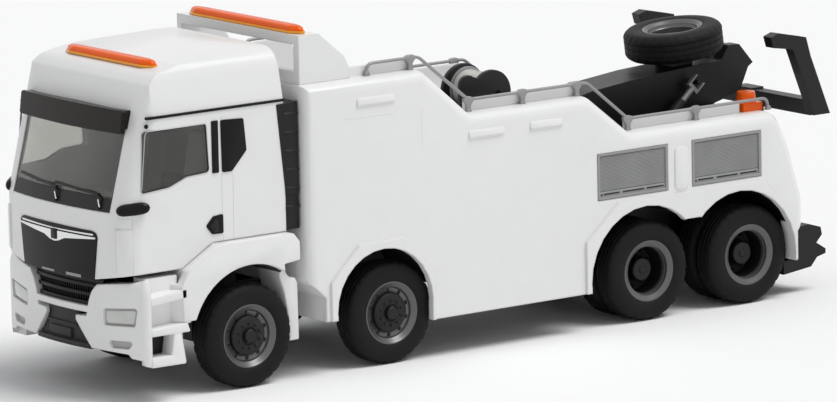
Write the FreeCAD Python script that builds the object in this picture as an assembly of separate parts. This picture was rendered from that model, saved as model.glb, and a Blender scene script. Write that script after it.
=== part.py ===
import FreeCAD, Part
import math
import os

os.makedirs("parts", exist_ok=True)
V = FreeCAD.Vector

# An 8x4 heavy recovery truck as a plastic scale model, in millimetres.
# +X is forward, +Y is the left side, +Z is up. Lengths are set out from the
# first axle at ground level, and the finished pieces are moved so that the
# origin lies on the ground under the middle of the overall box.

# Overall reach
FRONT_X = 18.75
REAR_X = -88.35

# Wheels and axles
TYRE_R = 6.15
TYRE_W = 3.6
TYRE_SHOULDER = 0.55
TYRE_FACE_Y = 13.65
TWIN_W = 7.3
TWIN_GROOVE_W = 0.7
TWIN_GROOVE_DEPTH = 1.5
RIM_R = 3.8
RIM_WALL = 0.45
RIM_SET_IN = 0.15
FRONT_DISC_DEPTH = 0.75
REAR_DISH_DEPTH = 3.3
HUB_R = 2.35
HUB_H = 0.85
HUB_BOSS_R = 1.0
HUB_BOSS_H = 0.45
REAR_HUB_R = 1.45
REAR_HUB_H = 2.2
WHEEL_FLATS = 28
HUB_FLATS = 20
AXLE_R = 0.75
AXLE_PLAY = 0.05
AXLE_2_X = -20.6
AXLE_3_X = -59.5
AXLE_4_X = -75.2

# Rounds and bows are made of short flats
ROUND_STEP = math.radians(18.0)
BOW_ANGLE = math.radians(21.5)
BOW_FLATS = 5
CORNER_FLATS = 6
SHOULDER_FLATS = 4
ARCH_FLATS = 28

# Chassis
RAIL_IN_Y = 2.9
RAIL_T = 1.3
RAIL_TOP_Z = 10.5
RAIL_H = 3.0
CHASSIS_FRONT_X = 13.6
CHASSIS_REAR_X = -81.6
BEARER_L = 4.4
BEARER_DROP = 1.6
CROSS_T = 1.6

# Cab
CAB_HALF_W = 12.9
CAB_WALL = 0.8
CAB_BACK_X = -6.0
CAB_NOSE_X = 18.5
CAB_BOTTOM_Z = 15.25
BELT_Z = 22.4
DRIP_Z = 33.2
VISOR_TOP_Z = 34.3
VISOR_BOTTOM_Z = 31.4
VISOR_HALF_W = 11.0
ROOF_FRONT_Z = 38.75
ROOF_BACK_Z = 39.5
ROOF_HALF_W = 11.6
NOSE_BULGE = 2.12
BROW_BULGE = 0.8
BELT_CORNER = 2.5
BROW_CORNER = 1.8
SCREEN_LEAN = 0.261
SCREEN_HALF_W = 10.05
SCREEN_TOP_Z = 32.9
GLASS_T = 0.35
GLASS_INSET = 0.12
TRIM_T = 0.15
GRILLE_T = 0.15
GRILLE_BOTTOM_Z = 14.7
GRILLE_TRIM_T = FRONT_X - CAB_NOSE_X
CAB_GUARD_LINE_Z = 17.8

# Light bars
BAR_H = 1.0
CAB_BAR_X = 10.4
CAB_BAR_HALF_L = 11.6
BAR_W = 2.3

# Bumper, steps and mudguards
BUMPER_HALF_W = 14.35
BUMPER_NOSE_X = FRONT_X
BUMPER_FLAT_HALF_W = 0.84
BUMPER_T = 1.0
BUMPER_BACK_X = 14.15
BUMPER_DEPTH = BUMPER_NOSE_X - BUMPER_BACK_X - 0.1
BUMPER_BOTTOM_Z = 5.4
BUMPER_TOP_Z = 14.8
LAMP_INSET = 1.25
FOG_INSET = 1.35
LOUVRE_INSET = 0.35
LOUVRE_T = 0.9
STEP_FRONT_X = BUMPER_BACK_X
STEP_BACK_X = 9.4
GUARD_SET_IN = 0.05
GUARD_OUT_Y = BUMPER_HALF_W - GUARD_SET_IN
STEP_W = 3.9
STEP_IN_Y = GUARD_OUT_Y - STEP_W
GUARD_IN_Y = 9.2
GUARD_R = 8.6
FLAP_T = 1.0
FLAP_OUT_Y = CAB_HALF_W
FLAP_BOTTOM_Z = 4.95

# Body shell
BODY_HALF_W = 14.4
BODY_WALL = 0.6
FLARE_T = 0.3
BODY_FRONT_X = -8.2
BODY_SILL_Z = 4.75
BODY_FRONT_SILL_Z = 6.5
TALL_Z = 34.7
MID_Z = 28.7
LOW_Z = 23.6
SHOULDER_R = 1.36
SIDE_W = 3.0
TRAY_HALF_W = BODY_HALF_W - SIDE_W
BODY_BAR_HALF_L = TRAY_HALF_W
DECK_Z = 26.5
DECK_T = 0.8
REAR_DECK_Z = 16.2
COAMING_H = 1.2
COAMING_T = 0.5
COAMING_END_X = -75.3
FRONT_WALL_T = 0.8
BULKHEAD_X = -50.8
TRAY_END_X = -79.4
BODY_PAD_HALF_W = 4.2
REAR_WALL_IN_X = -81.0
REAR_CORNER_W = 1.8
REAR_GAP_HALF_W = BODY_HALF_W - REAR_CORNER_W
REAR_GAP_TOP_Z = 10.9
HEAD_H = 5.8
HEAD_TOP_Z = TALL_Z + HEAD_H
HEAD_FRONT_X = -8.7
HEAD_SILL_X = -9.7
HEAD_SILL_H = 1.5
HEAD_BEAM_H = 1.1
HEAD_SHOULDER_DROP = 3.1
HEAD_T = 2.9

# Side rails
RAIL_LIFT = 1.45
RAIL_HALF_H = 0.3
RAIL_INSET = 2.1
RAIL_Y = BODY_HALF_W - RAIL_INSET
RAIL_END_X = -79.15
POST_W = 0.95
POST_T = 0.5

# Rear beacons and tail lamps
BEACON_X = -77.4
BEACON_INSET = 3.8
BEACON_Y = BODY_HALF_W - BEACON_INSET
BEACON_R = 1.3
BEACON_BASE_H = 1.0
BEACON_H = 2.3
TAIL_LAMP_W = 4.4

# Roller shutters
SHUTTER_T = 0.3
SHUTTER_TOP_Z = 21.65
SHUTTER_BOTTOM_Z = 15.9

# Boom
BOOM_PIVOT_X = -53.5
BOOM_PIVOT_Z = 23.6
BOOM_HALF_W = 3.0
BOOM_TRUNNION_R = 0.6
PIN_PLAY = 0.05
EAR_T = 0.9
RAM_PIN_X = -74.9
RAM_PIN_Z = 26.55
RAM_PIN_R = 0.3
RAM_EYE_PLAY = 0.4
RAM_EYE_WALL = 0.2
RAM_BASE_X = -65.5
RAM_BASE_Z = 17.9
RAM_Y = 4.1
RAM_BARREL_R = 0.8
RAM_BARREL_L = 9.6
RAM_BARREL_FLATS = 12
RAM_NECK_L = 0.9
RAM_BORE_START = 1.6
RAM_LUG_GAP = 0.15
RAM_LUG_T = 0.6
RAM_ROD_R = 0.38
RAM_ROD_PLAY = 0.03
TRAY_FLOOR_T = 0.5
TRAY_WALL_T = 0.4
TRAY_WALL_DROP = 0.3

# Spare wheel
SPARE_X = -74.6
SPARE_TOP_Z = 33.2
SPARE_TILT = 7.0

# Underlift
LIFT_PIVOT_X = -86.5
LIFT_PIVOT_Z = 5.4
LIFT_PIN_R = 0.65
LIFT_LUG_R = 1.3
STINGER_HALF_W = 1.7
STINGER_T = 2.0
BAR_Z = 23.15
BAR_THICK = 1.85
BAR_PIN_R = 0.5
FORK_Y = 13.0
FORK_T = 1.5
CLEVIS_IN_Y = STINGER_HALF_W + 0.2
CLEVIS_OUT_Y = 3.2

SHIFT = V(-(FRONT_X + REAR_X) / 2.0, 0.0, 0.0)


# Shape helpers

def box(x0, x1, y0, y1, z0, z1):
    return Part.makeBox(x1 - x0, y1 - y0, z1 - z0, V(x0, y0, z0))


def flipped(shape):
    return shape.mirror(V(0, 0, 0), V(0, 1, 0))


def both_sides(shapes):
    return list(shapes) + [flipped(s) for s in shapes]


def rounded(points):
    """An outline with its marked corners rounded by short chords.

    A point is (u, v), or (u, v, radius) where the corner is round.
    """
    count = len(points)
    corners = []
    for i, point in enumerate(points):
        here = V(point[0], point[1], 0)
        if len(point) < 3:
            corners.append(here)
            continue
        before = points[i - 1]
        after = points[(i + 1) % count]
        to_before = V(before[0], before[1], 0).sub(here).normalize()
        to_after = V(after[0], after[1], 0).sub(here).normalize()
        half = to_before.getAngle(to_after) / 2.0
        radius = point[2]
        middle = V(to_before).add(to_after).normalize()
        centre = here.add(middle.multiply(radius / math.sin(half)))
        spoke = here.add(V(to_before).multiply(radius / math.tan(half))).sub(centre)
        turn = math.pi - 2.0 * half
        if to_after.cross(to_before).z < 0.0:
            turn = -turn
        steps = max(1, math.ceil(abs(turn) / ROUND_STEP))
        for k in range(steps + 1):
            a = turn * k / steps
            corners.append(centre.add(V(spoke.x * math.cos(a) - spoke.y * math.sin(a),
                                        spoke.x * math.sin(a) + spoke.y * math.cos(a), 0)))
    return corners


def flat_face(corners):
    return Part.Face(Part.makePolygon(corners + corners[:1]))


def outline_face(points):
    return flat_face(rounded(points))


def closed(faces):
    """The solid that the faces close off."""
    shell = Part.makeShell(faces)
    shell.sewShape()
    solid = Part.makeSolid(shell)
    if solid.Volume < 0.0:
        solid.reverse()
    return solid


def skinned(rows):
    """A solid between matching rows of corners, the end rows closed off."""
    faces = [flat_face(rows[0]), flat_face(rows[-1])]
    for low, high in zip(rows, rows[1:]):
        for i in range(len(low)):
            faces.append(flat_face([low[i - 1], high[i - 1], high[i], low[i]]))
    return closed(faces)


def drawn_in(corners, depths):
    """The outline with each run moved inward; run i starts at corner i."""
    moved = []
    count = len(corners)
    for i in range(count):
        here = corners[i]
        u = here.sub(corners[i - 1]).normalize()
        v = corners[(i + 1) % count].sub(here).normalize()
        d0 = depths[i - 1]
        d1 = depths[i]
        cross = u.x * v.y - u.y * v.x
        if abs(cross) < 1e-9:
            moved.append(here.add(V(-u.y * d0, u.x * d0, 0)))
        else:
            moved.append(here.add(V((d0 * v.x - d1 * u.x) / cross,
                                    (d0 * v.y - d1 * u.y) / cross, 0)))
    return moved


def side_plate(points, y0, y1):
    """An outline in (x, z), as thick as from y0 to y1."""
    face = outline_face(points)
    face.rotate(V(0, 0, 0), V(1, 0, 0), 90)
    face.translate(V(0, y1, 0))
    return face.extrude(V(0, y0 - y1, 0))


def front_plate(points, x0, x1):
    """An outline in (y, z), as thick as from x0 to x1."""
    face = outline_face(points)
    face.rotate(V(0, 0, 0), V(1, 0, 0), 90)
    face.rotate(V(0, 0, 0), V(0, 0, 1), 90)
    face.translate(V(x0, 0, 0))
    return face.extrude(V(x1 - x0, 0, 0))


def cylinder_y(x, z, radius, y0, y1):
    return Part.makeCylinder(radius, y1 - y0, V(x, y0, z), V(0, 1, 0))


def flat_circle(x, z, radius, y, flats):
    """Corners round the lateral line at x, z, one of them straight down."""
    flats = round(flats)
    corners = []
    for i in range(flats):
        a = 2.0 * math.pi * i / flats
        corners.append(V(x + radius * math.sin(a), y, z - radius * math.cos(a)))
    return corners


def ring(profile, x, z, flats):
    """A ring of flats about the lateral line at x, z. A point is (radius, y)."""
    flats = round(flats)
    faces = []
    for (r1, y1), (r2, y2) in zip(profile, profile[1:] + profile[:1]):
        if r1 == 0.0 and r2 == 0.0:
            continue
        if y1 == y2:
            face = flat_face(flat_circle(x, z, max(r1, r2), y1, flats))
            if min(r1, r2) > 0.0:
                face = face.cut(flat_face(flat_circle(x, z, min(r1, r2), y1, flats)))
            faces += face.Faces
            continue
        near = flat_circle(x, z, r1, y1, flats)
        far = flat_circle(x, z, r2, y2, flats)
        for i in range(flats):
            faces.append(flat_face([near[i - 1], far[i - 1], far[i], near[i]]))
    return closed(faces)


def arch_cutter(x, z, radius, y0, y1):
    """A round opening made of flats, nowhere smaller than the radius."""
    corners = flat_circle(x, z, radius / math.cos(math.pi / ARCH_FLATS), y0, ARCH_FLATS)
    return flat_face(corners).extrude(V(0, y1 - y0, 0))


def fused(shapes):
    shapes = list(shapes)
    joined = shapes[0] if len(shapes) == 1 else shapes[0].multiFuse(shapes[1:])
    return joined.removeSplitter()


def tilted(shape, x, z, degrees):
    """Turned about the lateral line at x, z; positive takes the rear up."""
    shape.rotate(V(x, 0, z), V(0, 1, 0), degrees)
    return shape


def save(name, shapes):
    """Write one node, with its solids side by side."""
    solids = []
    for shape in shapes:
        solids.extend(shape.Solids)
    node = solids[0] if len(solids) == 1 else Part.makeCompound(solids)
    node = node.copy()
    node.translate(SHIFT)
    node.exportStep("parts/%s.step" % name)


# Wheels

def tyre_profile(width):
    """Half section of a tyre with chamfered shoulders, outer face first."""
    outer = TYRE_FACE_Y
    inner = outer - width
    s = TYRE_SHOULDER
    points = [(RIM_R, outer), (TYRE_R - s, outer), (TYRE_R, outer - s)]
    if width > TYRE_W:
        middle = (outer + inner) / 2.0
        half = TWIN_GROOVE_W / 2.0
        points += [(TYRE_R, middle + half),
                   (TYRE_R - TWIN_GROOVE_DEPTH, middle),
                   (TYRE_R, middle - half)]
    return points + [(TYRE_R, inner + s), (TYRE_R - s, inner), (RIM_R, inner)]


def rim_profile(width, depth):
    """Half section of a rim, dished by the depth inside its lip."""
    face = TYRE_FACE_Y - RIM_SET_IN
    back = TYRE_FACE_Y - width
    lip = RIM_R - RIM_WALL
    return [(0.0, back), (RIM_R, back), (RIM_R, face), (lip, face), (lip, face - depth),
            (0.0, face - depth)]


def front_hub_profile():
    base = TYRE_FACE_Y - RIM_SET_IN - FRONT_DISC_DEPTH
    top = base + HUB_H
    return [(0.0, base), (HUB_R, base), (HUB_R - 0.2, top), (HUB_BOSS_R, top),
            (HUB_BOSS_R, top + HUB_BOSS_H), (0.0, top + HUB_BOSS_H)]


def rear_hub_profile():
    base = TYRE_FACE_Y - RIM_SET_IN - REAR_DISH_DEPTH
    top = base + REAR_HUB_H
    return [(0.0, base), (REAR_HUB_R, base), (REAR_HUB_R - 0.1, top), (0.0, top)]


def wheelset(number, x, twin):
    width = TWIN_W if twin else TYRE_W
    depth = REAR_DISH_DEPTH if twin else FRONT_DISC_DEPTH
    hub = rear_hub_profile() if twin else front_hub_profile()
    back = TYRE_FACE_Y - width
    save("tyres_%d" % number, both_sides([ring(tyre_profile(width), x, TYRE_R, WHEEL_FLATS)]))
    save("rims_%d" % number,
         both_sides([ring(rim_profile(width, depth), x, TYRE_R, WHEEL_FLATS)]))
    save("hubs_%d" % number, both_sides([ring(hub, x, TYRE_R, HUB_FLATS)]))
    save("axle_%d" % number, [cylinder_y(x, TYRE_R, AXLE_R, -back, back)])


# Chassis

def chassis():
    rail_out = RAIL_IN_Y + RAIL_T
    rail_bottom = RAIL_TOP_Z - RAIL_H
    pieces = [box(CHASSIS_REAR_X, CHASSIS_FRONT_X, RAIL_IN_Y, rail_out, rail_bottom, RAIL_TOP_Z),
              box(CHASSIS_REAR_X, CHASSIS_FRONT_X, -rail_out, -RAIL_IN_Y, rail_bottom, RAIL_TOP_Z)]
    crosses = [CHASSIS_FRONT_X - CROSS_T, -10.5, -40.0, (AXLE_3_X + AXLE_4_X) / 2.0,
               CHASSIS_REAR_X]
    for x in crosses:
        pieces.append(box(x, x + CROSS_T, -rail_out, rail_out, rail_bottom, RAIL_TOP_Z))
    for x in (0.0, AXLE_2_X, AXLE_3_X, AXLE_4_X):
        for side in (1.0, -1.0):
            y0, y1 = sorted((side * RAIL_IN_Y, side * (rail_out + 0.6)))
            pieces.append(box(x - BEARER_L / 2.0, x + BEARER_L / 2.0, y0, y1,
                              TYRE_R - BEARER_DROP, RAIL_TOP_Z - 1.0))
    # the posts that carry the cab floor
    for x in (-3.5, 8.5):
        pieces.append(box(x - 1.2, x + 1.2, -rail_out, rail_out, rail_bottom, CAB_BOTTOM_Z))
    frame = fused(pieces)
    bore = AXLE_R + AXLE_PLAY
    for x in (0.0, AXLE_2_X, AXLE_3_X, AXLE_4_X):
        frame = frame.cut(box(x - bore, x + bore, -rail_out - 1.0, rail_out + 1.0,
                              TYRE_R - bore, TYRE_R + bore))
    save("chassis", [frame])


# Cab

def plan_row(z, inset, nose_x, bulge, half_w, corner, back_x):
    """Plan corners at height z, with a bowed front and rounded corners.

    Each run keeps its direction at any height, so the skin between two rows is flat faces.
    """
    sine = math.sin(BOW_ANGLE)
    bow_r = bulge / (1.0 - math.cos(BOW_ANGLE))
    flat = half_w - corner * (1.0 - sine) - bow_r * sine
    half = [(nose_x - bow_r + (bow_r - inset) * math.cos(BOW_ANGLE * k / BOW_FLATS),
             flat + (bow_r - inset) * math.sin(BOW_ANGLE * k / BOW_FLATS))
            for k in range(BOW_FLATS + 1)]
    corner_x = nose_x - bulge - corner * math.cos(BOW_ANGLE)
    for k in range(1, CORNER_FLATS + 1):
        a = BOW_ANGLE + (math.pi / 2.0 - BOW_ANGLE) * k / CORNER_FLATS
        half.append((corner_x + (corner - inset) * math.cos(a),
                     half_w - corner + (corner - inset) * math.sin(a)))
    half.append((back_x, half_w - inset))
    return [V(x, y, z) for x, y in half] + [V(x, -y, z) for x, y in reversed(half)]


def plan_block(z0, z1, inset, nose_x, bulge, half_w, corner, back_x):
    return skinned([plan_row(z, inset, nose_x, bulge, half_w, corner, back_x)
                    for z in (z0, z1)])


def cab_block(inset, bottom_z):
    """The cab's outer form, or the room inside it when inset by the wall."""
    top_z = ROOF_BACK_Z + 1.5
    back = CAB_BACK_X + inset
    brow_nose = CAB_NOSE_X - NOSE_BULGE - SCREEN_LEAN * (top_z - BELT_Z) + BROW_BULGE
    block = skinned([plan_row(z, inset, CAB_NOSE_X, NOSE_BULGE, CAB_HALF_W, BELT_CORNER, back)
                     for z in (bottom_z, BELT_Z)]
                    + [plan_row(top_z, inset, brow_nose, BROW_BULGE, CAB_HALF_W, BROW_CORNER,
                                back)])
    side = side_plate([(CAB_NOSE_X + 2.0, bottom_z), (CAB_NOSE_X + 2.0, VISOR_TOP_Z - 0.1),
                       (14.45 - inset, VISOR_TOP_Z - 0.1), (13.9 - inset, 35.6 - inset * 0.5, 2.0),
                       (11.9 - inset, 37.9 - inset, 2.5), (8.6, 38.8 - inset),
                       (back, ROOF_BACK_Z - inset), (back, bottom_z)],
                      -CAB_HALF_W - 1.0, CAB_HALF_W + 1.0)
    w = CAB_HALF_W - inset
    top = ROOF_BACK_Z - inset
    front = front_plate([(-w, bottom_z), (w, bottom_z), (w, DRIP_Z, 3.0),
                         (ROOF_HALF_W - inset, top, 1.5), (-ROOF_HALF_W + inset, top, 1.5),
                         (-w, DRIP_Z, 3.0)], CAB_BACK_X - 1.0, CAB_NOSE_X + 2.0)
    return block.common(side).common(front)


def side_window():
    return [(13.6, 31.85, 0.5), (5.05, 31.85, 0.3), (4.75, 26.1, 0.5), (8.0, 25.9, 2.0),
            (10.5, 24.95, 2.0), (14.35, 24.65, 0.3)]


def guard_clearance():
    """The cut in the cab's sides over the mudguards."""
    return [(9.2, CAB_BOTTOM_Z - 2.0), (8.9, CAB_BOTTOM_Z), (4.6, CAB_GUARD_LINE_Z, 2.5),
            (CAB_BACK_X - 1.0, CAB_GUARD_LINE_Z), (CAB_BACK_X - 1.0, CAB_BOTTOM_Z - 2.0)]


def cab(outer):
    shell = outer.cut(cab_block(CAB_WALL, CAB_BOTTOM_Z - 0.5))
    shell = shell.cut(box(9.0, CAB_NOSE_X + 2.0, -SCREEN_HALF_W, SCREEN_HALF_W,
                          BELT_Z, SCREEN_TOP_Z))
    shell = shell.cut(side_plate(side_window(), -CAB_HALF_W - 1.0, CAB_HALF_W + 1.0))
    shell = shell.cut(side_plate(guard_clearance(), -CAB_HALF_W - 1.0, CAB_HALF_W + 1.0))
    save("cab_shell", [shell])


def cab_glazing():
    """Screen and door glass, flush in their openings."""
    skin = cab_block(GLASS_INSET, CAB_BOTTOM_Z)
    skin = skin.cut(cab_block(GLASS_INSET + GLASS_T, CAB_BOTTOM_Z - 0.5))
    screen = skin.common(box(9.0, CAB_NOSE_X + 2.0, -SCREEN_HALF_W, SCREEN_HALF_W,
                             BELT_Z, SCREEN_TOP_Z))
    doors = skin.common(side_plate(side_window(), -CAB_HALF_W - 1.0, CAB_HALF_W + 1.0))
    save("cab_glazing", [screen, doors])


def cab_interior():
    """Floor, dashboard, seats, rear bunk and steering wheel in one moulding."""
    y = CAB_HALF_W - CAB_WALL
    floor_z = CAB_GUARD_LINE_Z + 0.1
    x1 = CAB_NOSE_X - NOSE_BULGE - CAB_WALL - 0.3
    pieces = [box(CAB_BACK_X + CAB_WALL, x1, -y + 2.2, y - 2.2, floor_z, floor_z + 0.8),
              box(CAB_BACK_X + CAB_WALL, 8.0, -y, y, floor_z, floor_z + 0.8),
              box(-4.7, -2.3, -4.2, 4.2, CAB_BOTTOM_Z, floor_z),
              box(7.3, 9.7, -4.2, 4.2, CAB_BOTTOM_Z, floor_z)]
    dash = side_plate([(10.8, floor_z), (x1, floor_z), (x1, 22.0), (13.6, 23.4, 1.0),
                       (11.2, 22.2, 0.6)], -y + 2.2, y - 2.2)
    pieces.append(dash)
    for side in (1.0, -1.0):
        y0, y1 = sorted((side * 3.6, side * 9.6))
        pieces.append(side_plate([(0.6, floor_z + 0.8), (7.2, floor_z + 0.8), (7.6, 21.8, 0.8),
                                  (2.6, 21.4, 0.5), (1.0, 29.6, 0.8), (-0.9, 29.4, 0.8),
                                  (0.2, 21.0)], y0, y1))
    bunk = side_plate([(CAB_BACK_X + CAB_WALL, floor_z), (-1.4, floor_z), (-1.4, 22.0, 0.5),
                       (CAB_BACK_X + CAB_WALL, 22.0)], -y, y)
    pieces.append(bunk)
    wheel = ring([(1.8, -0.25), (2.3, -0.25), (2.3, 0.25), (1.8, 0.25)], 0.0, 0.0, HUB_FLATS)
    spoke = box(-0.35, 0.35, -0.25, 0.25, -2.0, 2.0)
    column = box(-0.35, 0.35, -3.6, 0.25, -0.35, 0.35)
    steering = fused([wheel, spoke, column])
    steering.rotate(V(0, 0, 0), V(1, 0, 0), 90)
    steering.rotate(V(0, 0, 0), V(0, 1, 0), -30)
    steering.translate(V(9.6, 6.6, 23.2))
    pieces.append(steering)
    save("cab_interior", [fused(pieces)])


def visor(outer):
    lean = SCREEN_LEAN * (VISOR_TOP_Z - VISOR_BOTTOM_Z)
    x = 15.35
    plate = side_plate([(x, VISOR_BOTTOM_Z), (x - lean * 0.7, VISOR_TOP_Z, 0.2),
                        (10.0, VISOR_TOP_Z), (10.0, VISOR_BOTTOM_Z)],
                       -VISOR_HALF_W, VISOR_HALF_W)
    return plate.cut(outer).cut(cab_block(GLASS_INSET, CAB_BOTTOM_Z))


def cab_trim(outer):
    """Pillar strips, quarter panels, drip strips, handles and mirror feet."""
    y0 = CAB_HALF_W
    y1 = CAB_HALF_W + TRIM_T
    strip = box(3.42, 4.34, y0, y1, 25.9, 32.05)
    quarter = side_plate([(3.05, 32.05), (-0.2, 31.9), (-0.55, 28.1), (1.6, 25.85),
                          (2.95, 25.85)], y0, y1)
    drip = box(CAB_BACK_X, 11.6, y0, y1, DRIP_Z - 1.0, DRIP_Z - 0.65)
    handle = side_plate([(5.45, 19.8), (4.4, 20.85), (3.0, 21.0), (3.0, 18.7), (4.6, 18.75)],
                        y0, y1)
    foot = side_plate([(2.3, 0.0), (1.4, 0.55), (-1.4, 0.55), (-2.3, 0.0), (-1.4, -0.55),
                       (1.4, -0.55)], -0.9, 0.9)
    foot.rotate(V(0, 0, 0), V(0, 0, 1), -38)
    foot.translate(V(15.2, 11.9, 23.3))
    foot = foot.cut(outer)
    save("cab_trim", both_sides([strip, quarter, drip, handle, foot]))


def front_skin(offset, depth, points, z0, z1):
    """A curved slice of the nose, from depth behind to offset before it."""
    thick = plan_block(z0, z1, -offset, CAB_NOSE_X, NOSE_BULGE, CAB_HALF_W, BELT_CORNER, 8.0)
    hollow = plan_block(z0 - 1.0, z1 + 1.0, depth, CAB_NOSE_X, NOSE_BULGE, CAB_HALF_W,
                        BELT_CORNER, 7.0)
    return thick.cut(hollow).common(front_plate(points, 8.0, FRONT_X + 2.0))


def grille():
    panel = front_skin(GRILLE_T, 0.0, [(-7.5, GRILLE_BOTTOM_Z), (7.5, GRILLE_BOTTOM_Z),
                                       (7.75, 19.7, 0.8), (-7.75, 19.7, 0.8)], 14.0, 21.0)
    save("grille", [panel])
    wings = [(-7.2, 19.5), (-7.2, 19.1), (-1.6, 18.7), (-1.0, 18.1), (1.0, 18.1), (1.6, 18.7),
             (7.2, 19.1), (7.2, 19.5)]
    trim = front_skin(GRILLE_TRIM_T, -GRILLE_T, wings, 14.0, 21.0)
    save("grille_trim", [trim])


def light_bar(x, z, half_l):
    """A low beacon bar with slanted ends and a bevelled top."""
    r = BAR_W / 2.0
    lower = front_plate([(-half_l + 0.7, z), (half_l - 0.7, z), (half_l, z + 0.35),
                         (half_l - 0.9, z + BAR_H), (-half_l + 0.9, z + BAR_H),
                         (-half_l, z + 0.35)], x - r, x + r)
    plan = Part.Face(Part.makePolygon([V(x + r, -half_l + 1.6, z), V(x + r, half_l - 1.6, z),
                                       V(x, half_l, z), V(x - r, half_l - 1.6, z),
                                       V(x - r, -half_l + 1.6, z), V(x, -half_l, z),
                                       V(x + r, -half_l + 1.6, z)]))
    bar = lower.common(plan.extrude(V(0, 0, BAR_H)))
    bevel = side_plate([(x - r, z), (x + r, z), (x + r, z + 0.45), (x + r - 0.5, z + BAR_H),
                        (x - r + 0.5, z + BAR_H), (x - r, z + 0.45)], -half_l, half_l)
    return bar.common(bevel)


def air_stack():
    """The black air intake stack on the left rear of the cab."""
    x0 = BODY_FRONT_X + 0.25
    x1 = CAB_BACK_X
    pieces = []
    pieces.append(box(x0, x1, 7.4, 12.2, CAB_GUARD_LINE_Z, 31.9))
    for z in (20.5, 23.5, 26.5, 29.5):
        pieces.append(box(x0 - 0.1, x1, 7.2, 12.4, z, z + 0.4))
    save("air_stack", [fused(pieces)])


# Bumper, steps and mudguards

def bumper_bulge():
    """How far the bumper bows back from its flat middle to its rounded corners."""
    slope = math.tan(BOW_ANGLE / 2.0)
    spread = 1.0 - math.sin(BOW_ANGLE)
    reach = BUMPER_HALF_W - BUMPER_FLAT_HALF_W - BUMPER_DEPTH * spread
    return slope * reach / (1.0 - slope * spread)


def bumper_skin(inset, depth, z0, z1):
    bulge = bumper_bulge()
    corner = BUMPER_DEPTH - bulge
    outer = plan_block(z0, z1, inset, BUMPER_NOSE_X, bulge, BUMPER_HALF_W, corner,
                       BUMPER_BACK_X)
    inner = plan_block(z0 - 1.0, z1 + 1.0, inset + depth, BUMPER_NOSE_X, bulge,
                       BUMPER_HALF_W, corner, BUMPER_BACK_X - 1.0)
    return outer.cut(inner)


def lamp_outline():
    y = BUMPER_HALF_W - LAMP_INSET
    return [(y - 4.2, 9.75), (y - 0.2, 9.9), (y, 11.2), (y - 4.1, 11.1)]


def fog_outline():
    y = BUMPER_HALF_W - FOG_INSET
    return [(y - 3.4, 6.75), (y, 6.85), (y - 0.2, 7.45), (y - 3.2, 7.4)]


def bumper():
    skin = bumper_skin(0.0, BUMPER_T, BUMPER_BOTTOM_Z - 1.2, BUMPER_TOP_Z + 0.5)
    w = BUMPER_HALF_W + 1.0
    low = BUMPER_HALF_W - 2.35
    high = BUMPER_HALF_W - 1.75
    front_view = front_plate([(-w, 4.7), (-low, BUMPER_BOTTOM_Z), (-5.6, 6.0), (-3.1, 10.0),
                              (3.1, 10.0), (5.6, 6.0), (low, BUMPER_BOTTOM_Z), (w, 4.7),
                              (w, BUMPER_TOP_Z + 0.1), (high, BUMPER_TOP_Z),
                              (7.4, 13.5), (6.2, 10.9), (-6.2, 10.9),
                              (-7.4, 13.5), (-high, BUMPER_TOP_Z),
                              (-w, BUMPER_TOP_Z + 0.1)], BUMPER_BACK_X - 1.0, FRONT_X + 1.0)
    piece = skin.common(front_view)
    lamps = []
    for points in (lamp_outline(), fog_outline()):
        pocket = front_plate(points, BUMPER_BACK_X - 1.0, FRONT_X + 1.0)
        for cutter in both_sides([pocket]):
            piece = piece.cut(bumper_skin(-1.0, 1.6, 4.0, 16.0).common(cutter))
            lamps.append(bumper_skin(0.25, 0.35, 4.0, 16.0).common(cutter))
    brackets = both_sides([box(CHASSIS_FRONT_X, 17.0, 3.4, 5.2, 8.0, 9.6)])
    save("front_bumper", [piece])
    save("headlamps", lamps)
    return brackets


def bumper_centre(brackets):
    """Black louvre block, valance and the arms that carry the bumper."""
    top_z = GRILLE_BOTTOM_Z - 0.05
    louvre = bumper_skin(LOUVRE_INSET, LOUVRE_T, 10.9, top_z).common(
        front_plate([(-5.6, 10.9), (5.6, 10.9), (6.1, 13.4), (6.4, 15.0), (-6.4, 15.0),
                     (-6.1, 13.4)], 8.0, FRONT_X + 1.0))
    for z in (12.1, 13.4):
        slot = front_plate([(-5.0, z), (5.0, z), (5.0, z + 0.45), (-5.0, z + 0.45)],
                           8.0, FRONT_X + 1.0)
        louvre = louvre.cut(bumper_skin(-1.0, 1.5 + LOUVRE_INSET, 10.0, 16.0).common(slot))
    valance = bumper_skin(0.3, 0.9, 5.3, 10.0).common(
        front_plate([(-5.3, 6.1), (5.3, 6.1), (3.0, 9.95), (-3.0, 9.95)], 8.0, FRONT_X + 1.0))
    louvre_back_x = BUMPER_NOSE_X - LOUVRE_INSET - LOUVRE_T
    back = [box(15.9, 16.9, -5.4, 5.4, 7.9, top_z),
            box(16.8, louvre_back_x + 0.05, -4.8, 4.8, 11.1, top_z),
            box(16.8, 17.8, -2.6, 2.6, 8.0, 9.7)]
    save("bumper_centre", [fused([louvre, valance] + back + brackets)])


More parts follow.
